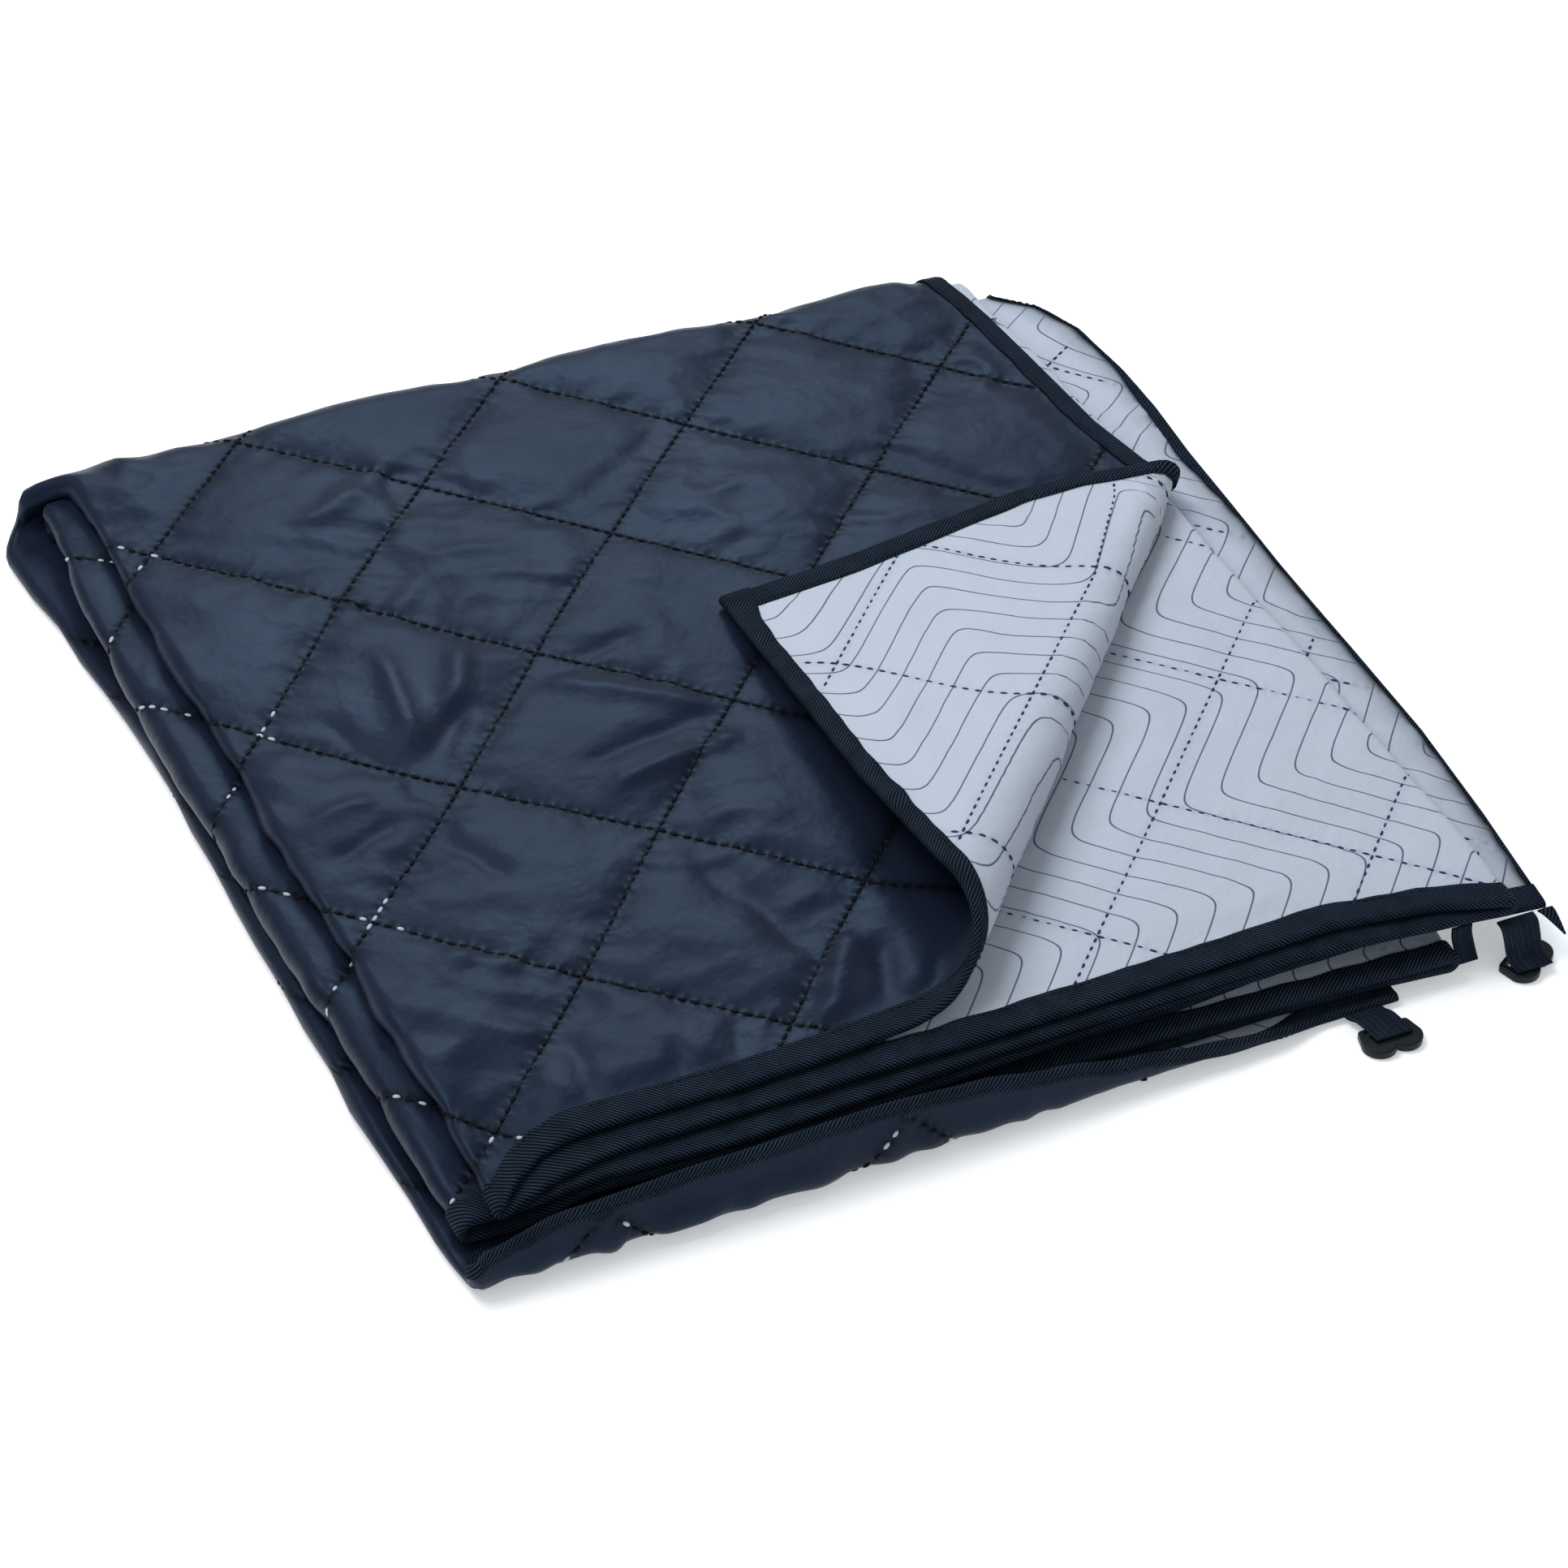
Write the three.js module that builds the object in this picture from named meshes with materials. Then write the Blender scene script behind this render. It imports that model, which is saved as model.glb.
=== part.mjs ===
// A quilted tent carpet, folded to a flat bundle with one corner turned back.
// Millimetres, +Z up. X runs along the front edge, Y to the fold at the back, and the origin is on the
// floor under the bundle. The cloth is folded in four across its width, like a letter, and then in half at
// the back, so a vertical cut shows four layers going back and forth above the middle and four below it.
import * as THREE from "three";

// Cloth
const SHEET_THICKNESS = 4.4; // between the seams, wadding included
const RIM_THICKNESS = 2.0; // pressed flat under the binding
const RIM_WIDTH = 13; // as wide as the binding
const SHELL_RECESS = 2.0; // how far a quilting seam is drawn in on the navy side
const LINING_RECESS = 0.6;
const SEAM_REACH = 26; // from a seam to the full height of a diamond
const HALF = SHEET_THICKNESS / 2;

// Quilting: two sets of parallel seams that cross at right angles, at 45 degrees to the edges
const SEAM_SPACING = 97.6;
const SEAM_CROSSING = { x: -156.7, y: 259.5 };
const QUILTED = { across: 2, way: 1.9 }; // the seams are drawn in on layer 1, its fold and most of the turn

// Bundle
const LAYER_PITCH = 5.2;
const MIDDLE_Z = 3.5 * LAYER_PITCH + HALF; // the level that the lower half mirrors
const LAYER_HEIGHTS = [3.5, 2.5, 1.5, 0.5].map((count) => count * LAYER_PITCH);
const BACK_AXIS_Y = 258; // the fold at the back turns about this line
const NEAT_RADIUS = LAYER_PITCH / 2;
const RIGHT_FOLD_HEIGHT = 2 * LAYER_PITCH;
const RAMP = { start: -190, end: -236 }; // where the layers leave their level for the folds at the left

// The folds on the way from the front of the upper half (0) over the back (1 to 2) to the front of the
// lower half (3). Each x is how far out a fold reaches; a height is its centre's distance from the middle.
// top: between layers 1 and 2, at the left. inner: layers 3 and 4, at the left. right: layers 2 and 3.
const FOLD_COLUMNS = [
  "at", "topX", "topHeight", "topRadius", "innerX", "innerHeight", "innerRadius", "rightX",
];
const FOLD_ROWS = [
  [0, -243, 8.9, 2.6, -256, -3.4, 4.8, 243],
  [0.14, -243, 15.6, 3, -259, 1.5, 6, 244],
  [0.45, -244, 15.6, 3, -264, 1.5, 6, 245],
  [0.72, -244, 15.6, 3, -266, 1.5, 6, 245],
  [0.84, -244, 15.6, 2.6, -264, 5.2, 2.6, 243],
  [1, -242, 15.6, 2.6, -257, 5.2, 2.6, 238],
  [1.35, -265, 15.6, 2.6, -257, 5.2, 2.6, 237],
  [2, -277, 15.6, 2.6, -257, 5.2, 2.6, 236],
  [2.15, -270, 15.6, 2.6, -184, 5.2, 2.6, 236],
  [2.3, -264.5, 13.8, 4.4, -184, 5.2, 2.6, 234],
  [2.45, -265, 13.8, 4.4, -184, 5.2, 2.6, 230],
  [2.78, -265, 13.8, 4.4, -184, 5.2, 2.6, 222],
  [2.9, -262, 15.6, 2.6, -184, 5.2, 2.6, 218],
  [3, -258, 15.6, 2.6, -184, 5.2, 2.6, 214],
].map((row) => Object.fromEntries(FOLD_COLUMNS.map((name, i) => [name, row[i]])));

// The bound long edges: layer 1 ends at topEnd, layer 4 at innerEnd.
const END_ROWS = [
  { at: 0, topEnd: 287.6, innerEnd: 259 },
  { at: 0.12, topEnd: 282, innerEnd: 265.5 },
  { at: 0.24, topEnd: 280.5, innerEnd: 271 },
  { at: 0.36, topEnd: 278.5, innerEnd: 273 },
  { at: 0.43, topEnd: 272.5, innerEnd: 273.6 },
  { at: 0.5, topEnd: 262, innerEnd: 274.5 },
  { at: 0.55, topEnd: 252, innerEnd: 275.8 },
  { at: 0.6, topEnd: 244, innerEnd: 277 },
  { at: 0.69, topEnd: 237, innerEnd: 279 },
  { at: 0.77, topEnd: 234.5, innerEnd: 282.5 },
  { at: 0.84, topEnd: 232.5, innerEnd: 283 },
  { at: 0.92, topEnd: 230, innerEnd: 279 },
  { at: 0.97, topEnd: 227.5, innerEnd: 269 },
  { at: 1, topEnd: 225, innerEnd: 252 },
  { at: 2, topEnd: 222, innerEnd: 252 },
  { at: 3, topEnd: 180, innerEnd: 254 },
];

// The bound short edges. across counts the way through the section: 0 to 1 layer 1, 1 to 2 its left fold,
// 2 to 3 layer 2, 3 to 4 the right fold, 4 to 5 layer 3, 5 to 6 the inner left fold, 6 to 7 layer 4.
const FRONT_ROWS = [
  { across: 0, upperY: -194.6, lowerY: -274 },
  { across: 0.15, upperY: -211, lowerY: -274 },
  { across: 0.3, upperY: -228, lowerY: -274 },
  { across: 0.45, upperY: -240, lowerY: -274 },
  { across: 0.6, upperY: -246, lowerY: -274 },
  { across: 0.7, upperY: -251, lowerY: -274 },
  { across: 0.78, upperY: -252.5, lowerY: -274 },
  { across: 0.92, upperY: -251.5, lowerY: -274 },
  { across: 0.955, upperY: -254, lowerY: -274 },
  { across: 0.98, upperY: -262, lowerY: -274 },
  { across: 1, upperY: -273, lowerY: -278.5 },
  { across: 2, upperY: -273, lowerY: -270 },
  { across: 2.05, upperY: -266, lowerY: -267 },
  { across: 2.12, upperY: -262.5, lowerY: -266 },
  { across: 2.25, upperY: -262, lowerY: -267 },
  { across: 2.45, upperY: -261.5, lowerY: -271 },
  { across: 2.65, upperY: -259.5, lowerY: -272 },
  { across: 2.83, upperY: -257, lowerY: -272 },
  { across: 2.93, upperY: -264, lowerY: -274 },
  { across: 3, upperY: -274, lowerY: -277 },
  { across: 4, upperY: -274, lowerY: -277 },
  { across: 4.2, upperY: -264, lowerY: -274 },
  { across: 4.5, upperY: -266, lowerY: -270 },
  { across: 4.75, upperY: -273, lowerY: -262 },
  { across: 5, upperY: -267, lowerY: -255 },
  { across: 6, upperY: -267, lowerY: -255 },
  { across: 6.25, upperY: -274, lowerY: -252 },
  { across: 6.6, upperY: -264, lowerY: -246 },
  { across: 6.85, upperY: -262, lowerY: -244 },
  { across: 7, upperY: -271, lowerY: -250 },
];

// The turned back corner: the cloth leaves layer 1 on a line from the apex and rolls over on a slim cone.
const CURL = {
  apex: { x: 378.2, y: 199.3 },
  heading: THREE.MathUtils.degToRad(226.52),
  halfAngle: 0.0341,
  turn: 3.2582,
};

// What the lowest layer has in front of this line is bent up to a low wall. reach is how far it goes past.
const LIP = { y: -276.5, radius: 8, turn: THREE.MathUtils.degToRad(102) };
const LIP_ROWS = [
  { x: -253.2, reach: 2 },
  { x: -236, reach: 7 },
  { x: -204, reach: 30 },
  { x: -150, reach: 35 },
  { x: -70, reach: 36 },
  { x: -28, reach: 33 },
  { x: 10, reach: 26 },
  { x: 47, reach: 19 },
  { x: 80, reach: 12 },
  { x: 110, reach: 8 },
  { x: 145, reach: 3 },
];

// Binding tape
const TAPE_THICKNESS = 0.7;
const TAPE_EASE = 0.4; // between the tape and the pressed rim
const EDGE_EASE = 0.6; // between the tape and the cloth's edge
const GAP = 0.3; // between pieces that touch on the real thing
const TAPE_INNER = RIM_THICKNESS / 2 + TAPE_EASE;
const TAPE_OUTER = TAPE_INNER + TAPE_THICKNESS;
const TAPE_LIP = EDGE_EASE + TAPE_THICKNESS;
const NARROW_TAPE = RIM_WIDTH / 2;
const TAPE_WIDTHS = {
  upper: { shell: RIM_WIDTH, lining: RIM_WIDTH },
  lower: { shell: NARROW_TAPE, lining: RIM_WIDTH },
  outer: { shell: RIM_WIDTH, lining: RIM_WIDTH },
  inner: { shell: RIM_WIDTH, lining: NARROW_TAPE },
};

// Straps, hooks and the loose end of the tape. A line gives [forward, up, sideways] from its start.
const STRAP_THICKNESS = 1.5;
const FRONT_STRAP = {
  start: { x: 163, y: -281.5 },
  line: [[0, 2.6, 0], [3, 3.2, 0.3], [7, 4.9, 1.1], [11, 5.25, 1.8], [15, 5.15, 2.4], [21.5, 5.1, 3.4]],
  widths: [19, 18],
};
const CORNER_STRAP = {
  start: { x: 243.5, y: -272.2 },
  line: [[0, 22, 0], [4, 20.8, 0.2], [6.5, 16, 0.6], [8.5, 10.5, 1], [11, 6.6, 1.5], [17, 5.2, 2.8]],
  widths: [19, 18],
};
const SHORT_STRAP = {
  start: { x: 219.8, y: -266.9 },
  line: [[0, 20.6, 0], [0.8, 16, 0], [3.5, 10, 0.6], [6.5, 4.6, 1.2]],
  widths: [10.5, 10.5],
};
const LOOSE_END = {
  start: { x: 258.5, y: -272.8 },
  line: [[0, 22.4, 0], [2.5, 21.6, 1], [6, 17.5, 3.6], [9, 12.5, 6.5]],
  widths: [8, 0.8],
};
const STRAP_STEPS = 14;
const HOOK = { lobeRadius: 8.2, lobeOffset: 6.3, backY: 9, backHalfWidth: 12.5, thickness: 4 };
const HOOK_SLOT = { halfWidth: 9.8, near: 4.4, far: 6.6 };
const HOOK_SEGMENTS = 10;
const FRONT_HOOK = { x: 165.5, y: -302, turn: 0 };
const CORNER_HOOK = { x: 248, y: -281, turn: THREE.MathUtils.degToRad(32) };

// Steps along and across the cloth
const FINE_ROWS = 29;
const TIGHT_ROLL = { from: 13, to: 18 }; // rows doubled where the turned back corner rolls tightest
const COARSE_ROWS = 11;
const TURN_ROWS = 6;
const LOWER_ROWS = 6;
const EDGE_STEPS = [0, RIM_WIDTH / 2, RIM_WIDTH];
const LIP_STEPS = [18, 23, 28, 33, 38];
const COLUMN_COUNTS = [27, 5, 12, 5, 6, 6, 7]; // for each layer and fold from layer 1 to layer 4
const BOUND_SHARE = 0.04; // of layers 1 and 4, kept free at the bound long edge for the edge steps

const clamp01 = (value) => Math.min(1, Math.max(0, value));
const ease = (value) => clamp01(value) ** 2 * (3 - 2 * clamp01(value));
const mix = THREE.MathUtils.lerp;

// One column of a table at a place, straight or eased between the rows.
function tableValue(rows, key, place, column, eased = false) {
  const next = rows.findIndex((row) => row[key] > place);
  if (next === 0) return rows[0][column];
  if (next < 0) return rows.at(-1)[column];
  const [before, after] = [rows[next - 1], rows[next]];
  const share = (place - before[key]) / (after[key] - before[key]);
  return mix(before[column], after[column], eased ? ease(share) : share);
}

// The centres and radii of the folds and the ends of the cloth at one place on the way over the back.
function foldState(at) {
  const value = (column) => tableValue(FOLD_ROWS, "at", at, column, true);
  const topRadius = value("topRadius");
  const innerRadius = value("innerRadius");
  return {
    topX: value("topX") + topRadius + HALF,
    topHeight: value("topHeight"),
    topRadius,
    innerX: value("innerX") + innerRadius + HALF,
    innerHeight: value("innerHeight"),
    innerRadius,
    rightX: value("rightX") - NEAT_RADIUS - HALF,
    topEnd: tableValue(END_ROWS, "at", at, "topEnd"),
    innerEnd: tableValue(END_ROWS, "at", at, "innerEnd"),
  };
}

// The middle line of the section: x and the height over the middle level.
function sectionMiddle(across, fold) {
  const layer = Math.min(6, Math.max(0, Math.floor(across)));
  const share = across - layer;
  const arc = (x, height, radius, angle) =>
    [x + radius * Math.cos(angle), height + radius * Math.sin(angle)];
  const level = (x, own, atFold) => [x, mix(own, atFold, ease((RAMP.start - x) / (RAMP.start - RAMP.end)))];
  const quarter = Math.PI / 2;
  const innerTop = fold.innerHeight + fold.innerRadius;
  const innerBottom = fold.innerHeight - fold.innerRadius;
  switch (layer) {
    case 0:
      return level(mix(fold.topEnd, fold.topX, share), LAYER_HEIGHTS[0], fold.topHeight + fold.topRadius);
    case 1:
      return arc(fold.topX, fold.topHeight, fold.topRadius, quarter + Math.PI * share);
    case 2:
      return level(mix(fold.topX, fold.rightX, share), LAYER_HEIGHTS[1], fold.topHeight - fold.topRadius);
    case 3:
      return arc(fold.rightX, RIGHT_FOLD_HEIGHT, NEAT_RADIUS, quarter - Math.PI * share);
    case 4:
      return level(mix(fold.rightX, fold.innerX, share), LAYER_HEIGHTS[2], innerTop);
    case 5:
      return arc(fold.innerX, fold.innerHeight, fold.innerRadius, quarter + Math.PI * share);
    default:
      return level(mix(fold.innerX, fold.innerEnd, share), LAYER_HEIGHTS[3], innerBottom);
  }
}

// The direction, in the section, from the lining to the shell.
function sectionNormal(across, fold) {
  const step = 0.002;
  const [x0, height0] = sectionMiddle(across - step, fold);
  const [x1, height1] = sectionMiddle(across + step, fold);
  const length = Math.hypot(x1 - x0, height1 - height0);
  return [(height1 - height0) / length, (x0 - x1) / length];
}

// The turned back corner of layer 1: where a point of the flat layer lies, and the shell's direction there.
function curl(x, y, z) {
  const along = new THREE.Vector3(Math.cos(CURL.heading), Math.sin(CURL.heading), 0);
  const beside = new THREE.Vector3(-along.y, along.x, 0);
  const offset = new THREE.Vector3(x - CURL.apex.x, y - CURL.apex.y, 0);
  const angle = Math.atan2(offset.dot(beside), offset.dot(along));
  if (angle <= 0) return null;
  const [sine, cosine] = [Math.sin(CURL.halfAngle), Math.cos(CURL.halfAngle)];
  const axis = along.clone().multiplyScalar(cosine).setZ(sine);
  const radial = along.clone().addScaledVector(axis, -cosine);
  const sideways = new THREE.Vector3().crossVectors(radial, axis);
  if (sideways.dot(beside) < 0) sideways.negate();
  const turned = Math.min(angle / sine, CURL.turn);
  const rest = angle - turned * sine;
  const line = axis.clone().multiplyScalar(cosine);
  line.addScaledVector(radial, Math.cos(turned)).addScaledVector(sideways, Math.sin(turned));
  const tangent = radial.clone().multiplyScalar(-Math.sin(turned));
  tangent.addScaledVector(sideways, Math.cos(turned)).divideScalar(sine);
  const point = line.clone().multiplyScalar(Math.cos(rest)).addScaledVector(tangent, Math.sin(rest));
  point.multiplyScalar(offset.length()).add(new THREE.Vector3(CURL.apex.x, CURL.apex.y, z));
  return { point, shell: new THREE.Vector3().crossVectors(line, tangent).normalize() };
}

// The Y of the short edge on the upper or the lower half.
function frontY(across, lower) {
  if (lower && across < 1) {
    const fold = foldState(3);
    const reach = tableValue(LIP_ROWS, "x", mix(fold.topEnd, fold.topX, across), "reach", true);
    return LIP.y - reach;
  }
  return tableValue(FRONT_ROWS, "across", across, lower ? "lowerY" : "upperY");
}

// A point in front of the lip's line, bent up round a level axis over it.
function bentUp(point) {
  const past = LIP.y - point.y;
  const angle = Math.min(past / LIP.radius, LIP.turn);
  const straight = Math.max(0, past - LIP.radius * LIP.turn);
  const [sine, cosine] = [Math.sin(angle), Math.cos(angle)];
  const axisZ = HALF + LIP.radius;
  const radius = axisZ - point.z;
  const y = LIP.y - radius * sine - straight * cosine;
  return new THREE.Vector3(point.x, y, axisZ - radius * cosine + straight * sine);
}

// A point of the folded cloth. way goes 0 to 1 on the upper half, 1 to 2 over the back, 2 to 3 on the lower
// half; offset is the distance from the middle of the cloth towards the shell.
function clothPoint(across, way, offset) {
  const fold = foldState(way);
  const [x, height] = sectionMiddle(across, fold);
  const [shellX, shellHeight] = sectionNormal(across, fold);
  const farX = x + shellX * offset;
  const farHeight = height + shellHeight * offset;
  if (way < 1) {
    const y = mix(frontY(across, false), BACK_AXIS_Y, way);
    const turned = across < 1 ? curl(x, y, MIDDLE_Z + height) : null;
    if (turned) return turned.point.addScaledVector(turned.shell, offset);
    return new THREE.Vector3(farX, y, MIDDLE_Z + farHeight);
  }
  if (way <= 2) {
    const angle = (way - 1) * Math.PI;
    const y = BACK_AXIS_Y + farHeight * Math.sin(angle);
    return new THREE.Vector3(farX, y, MIDDLE_Z + farHeight * Math.cos(angle));
  }
  const y = mix(BACK_AXIS_Y, frontY(across, true), way - 2);
  const point = new THREE.Vector3(farX, y, MIDDLE_Z - farHeight);
  return across < 1 && y < LIP.y ? bentUp(point) : point;
}

// How near a quilting seam a point of layer 1 is: 1 on a seam, 0 in the middle of a diamond.
function seamShare(across, way) {
  const fold = foldState(way);
  const [x, height] = sectionMiddle(across, fold);
  const turnLength = height * Math.PI * clamp01(way - 1);
  const y = mix(frontY(across, false), BACK_AXIS_Y, Math.min(1, way)) + turnLength;
  const toSeam = (value) => {
    const count = value / (SEAM_SPACING * Math.SQRT2);
    return Math.abs(count - Math.round(count)) * SEAM_SPACING;
  };
  const first = toSeam(x - y - SEAM_CROSSING.x + SEAM_CROSSING.y);
  const second = toSeam(x + y - SEAM_CROSSING.x - SEAM_CROSSING.y);
  return 1 - ease(Math.min(first, second) / SEAM_REACH);
}

// A row of the cloth is a distance from one of the short edges, a share of a half, or a share of the turn.
function wayOfRow(row, across) {
  if (row.turn !== undefined) return 1 + row.turn;
  const lower = row.half === "lower";
  const depth = BACK_AXIS_Y - frontY(across, lower);
  const rim = row.from / depth;
  const share = row.edge !== undefined ? row.edge / depth : mix(rim, 1, row.share);
  return lower ? 3 - share : share;
}

// A column of the cloth is a distance from one of the long edges, or a share of a layer or a fold.
function acrossOfColumn(column, way) {
  if (column.edge === undefined) return column.across;
  const fold = foldState(way);
  if (column.layer === 0) return column.edge / (fold.topEnd - fold.topX);
  return 7 - column.edge / (fold.innerEnd - fold.innerX);
}

// Where a column and a row cross.
function crossing(column, row) {
  const rough = wayOfRow(row, column.nominal);
  const across = acrossOfColumn(column, rough);
  return { across, way: wayOfRow(row, across) };
}

function clothRows(upperRows, lipSteps) {
  const rows = EDGE_STEPS.map((edge) => ({ half: "upper", edge }));
  for (let step = 1; step < upperRows; step += 1) {
    rows.push({ half: "upper", share: step / upperRows, from: RIM_WIDTH });
    const tight = upperRows === FINE_ROWS && step >= TIGHT_ROLL.from && step < TIGHT_ROLL.to;
    if (tight) rows.push({ half: "upper", share: (step + 0.5) / upperRows, from: RIM_WIDTH });
  }
  for (let step = 0; step <= TURN_ROWS; step += 1) rows.push({ turn: step / TURN_ROWS });
  const lipEnd = lipSteps.at(-1) ?? RIM_WIDTH;
  for (let step = LOWER_ROWS - 1; step > 0; step -= 1) {
    rows.push({ half: "lower", share: step / LOWER_ROWS, from: lipEnd });
  }
  const steps = [...EDGE_STEPS, ...lipSteps];
  return rows.concat(steps.reverse().map((edge) => ({ half: "lower", edge })));
}

// Columns from the long edge of layer 1 to that of layer 4. nominal is a column's rough place across.
function clothColumns() {
  const edgeColumns = (layer, nominal) => EDGE_STEPS.map((edge) => ({ layer, edge, rim: true, nominal }));
  const columns = edgeColumns(0, 0);
  COLUMN_COUNTS.forEach((count, layer) => {
    const start = layer === 0 ? BOUND_SHARE : 0;
    const end = layer === 6 ? 1 - BOUND_SHARE : 1;
    for (let step = layer === 0 ? 1 : 0; step < count; step += 1) {
      const across = layer + mix(start, end, step / count);
      columns.push({ layer, across, nominal: across });
    }
  });
  return columns.concat(edgeColumns(6, 7).reverse());
}

// Distance of the cloth's faces from its middle, pressed flat at the rim and drawn in at layer 1's seams.
function faceOffset(column, row, place, shell) {
  const rim = column.rim || row.edge <= RIM_WIDTH;
  if (rim) return RIM_THICKNESS / 2;
  const quilted = place.across < QUILTED.across && place.way < QUILTED.way;
  if (!quilted) return HALF;
  return HALF - (shell ? SHELL_RECESS : LINING_RECESS) * seamShare(place.across, place.way);
}

// Collects triangles and closes them to a mesh whose faces point out.
class Skin {
  constructor() {
    this.points = [];
    this.triangles = [];
  }

  add(point) {
    this.points.push(point.x, point.y, point.z);
    return this.points.length / 3 - 1;
  }

  triangle(a, b, c) {
    if (a !== b && b !== c && c !== a) this.triangles.push(a, b, c);
  }

  at(index) {
    return new THREE.Vector3().fromArray(this.points, 3 * index);
  }

  // Two triangles, split from the first corner to the third or from the second to the fourth.
  quad(a, b, c, d, splitSecond = false) {
    if (splitSecond) {
      this.triangle(a, b, d);
      this.triangle(b, c, d);
    } else {
      this.triangle(a, b, c);
      this.triangle(a, c, d);
    }
  }

  volume() {
    let sum = 0;
    for (let i = 0; i < this.triangles.length; i += 3) {
      const [a, b, c] = this.triangles.slice(i, i + 3).map((index) => this.at(index));
      sum += a.dot(b.cross(c));
    }
    return sum / 6;
  }

  geometry() {
    if (this.volume() < 0) {
      for (let i = 0; i < this.triangles.length; i += 3) {
        const second = this.triangles[i + 1];
        this.triangles[i + 1] = this.triangles[i + 2];
        this.triangles[i + 2] = second;
      }
    }
    const geometry = new THREE.BufferGeometry();
    geometry.setAttribute("position", new THREE.Float32BufferAttribute(this.points, 3));
    geometry.setIndex(this.triangles);
    geometry.computeVertexNormals();
    return geometry;
  }
}

const FINE = clothRows(FINE_ROWS, LIP_STEPS);
const COARSE = clothRows(COARSE_ROWS, []);
const COLUMNS = clothColumns();
const rowsOf = (column) => (column.layer === 0 ? FINE : COARSE);

// Whether the cloth between four places lies nearer to the line from the second to the fourth.
function splitsSecond(places) {
  const mean = (key) => places.reduce((sum, place) => sum + place[key], 0) / places.length;
  const middle = clothPoint(mean("across"), mean("way"), 0);
  const [a, b, c, d] = places.map(({ across, way }) => clothPoint(across, way, 0));
  const miss = (from, to) => from.clone().add(to).multiplyScalar(0.5).distanceTo(middle);
  return miss(b, d) < miss(a, c);
}

const sameRow = (a, b) => ["half", "edge", "share", "turn"].every((key) => a[key] === b[key]);

// One face of the sheet between two neighbouring columns: quads where both have the rows, else triangles.
function sheetStrip(skin, left, right, face) {
  const [a, b] = [left[face], right[face]];
  let [i, j] = [0, 0];
  while (i + 1 < a.length || j + 1 < b.length) {
    const [more, moreRight] = [i + 1 < a.length, j + 1 < b.length];
    const shared = more && moreRight && sameRow(left.rows[i], right.rows[j]);
    if (shared && sameRow(left.rows[i + 1], right.rows[j + 1])) {
      const places = [left.places[i], left.places[i + 1], right.places[j + 1], right.places[j]];
      skin.quad(a[i], a[i + 1], b[j + 1], b[j], splitsSecond(places));
      i += 1;
      j += 1;
    } else if (more && (!moreRight || left.steps[i + 1] <= right.steps[j + 1])) {
      skin.triangle(a[i], a[i + 1], b[j]);
      i += 1;
    } else {
      skin.triangle(a[i], b[j + 1], b[j]);
      j += 1;
    }
  }
}

// The quilted sheet: a shell face and a lining face over the same columns and rows, closed round the rim.
function quiltedSheet() {
  const skin = new Skin();
  const lines = COLUMNS.map((column) => {
    const rows = rowsOf(column);
    const places = rows.map((row) => crossing(column, row));
    const points = (shell) =>
      places.map((place, j) => {
        const offset = faceOffset(column, rows[j], place, shell);
        return skin.add(clothPoint(place.across, place.way, shell ? offset : -offset));
      });
    const steps = rows.map((row) => wayOfRow(row, column.nominal));
    return { rows, places, steps, shell: points(true), lining: points(false) };
  });
  for (let i = 0; i + 1 < lines.length; i += 1) {
    const [a, b] = [lines[i], lines[i + 1]];
    sheetStrip(skin, a, b, "shell");
    sheetStrip(skin, b, a, "lining");
    skin.quad(a.shell[0], b.shell[0], b.lining[0], a.lining[0]);
    skin.quad(b.shell.at(-1), a.shell.at(-1), a.lining.at(-1), b.lining.at(-1));
  }
  const [first, last] = [lines[0], lines.at(-1)];
  for (let j = 0; j + 1 < first.shell.length; j += 1) {
    skin.quad(first.shell[j + 1], first.shell[j], first.lining[j], first.lining[j + 1]);
  }
  for (let j = 0; j + 1 < last.shell.length; j += 1) {
    skin.quad(last.shell[j], last.shell[j + 1], last.lining[j + 1], last.lining[j]);
  }
  return skin.geometry();
}

// The tape's cut all the way round: distances out from its own inner border, or past the cloth's edge where
// they are negative, and offsets from the cloth's middle.
const TAPE_CUT = [
  [0, TAPE_OUTER],
  [NARROW_TAPE, TAPE_OUTER],
  [-TAPE_LIP, TAPE_OUTER],
  [-TAPE_LIP, -TAPE_OUTER],
  [NARROW_TAPE, -TAPE_OUTER],
  [0, -TAPE_OUTER],
  [0, -TAPE_INNER],
  [NARROW_TAPE, -TAPE_INNER],
  [-EDGE_EASE, -TAPE_INNER],
  [-EDGE_EASE, TAPE_INNER],
  [NARROW_TAPE, TAPE_INNER],
  [0, TAPE_INNER],
];

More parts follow.
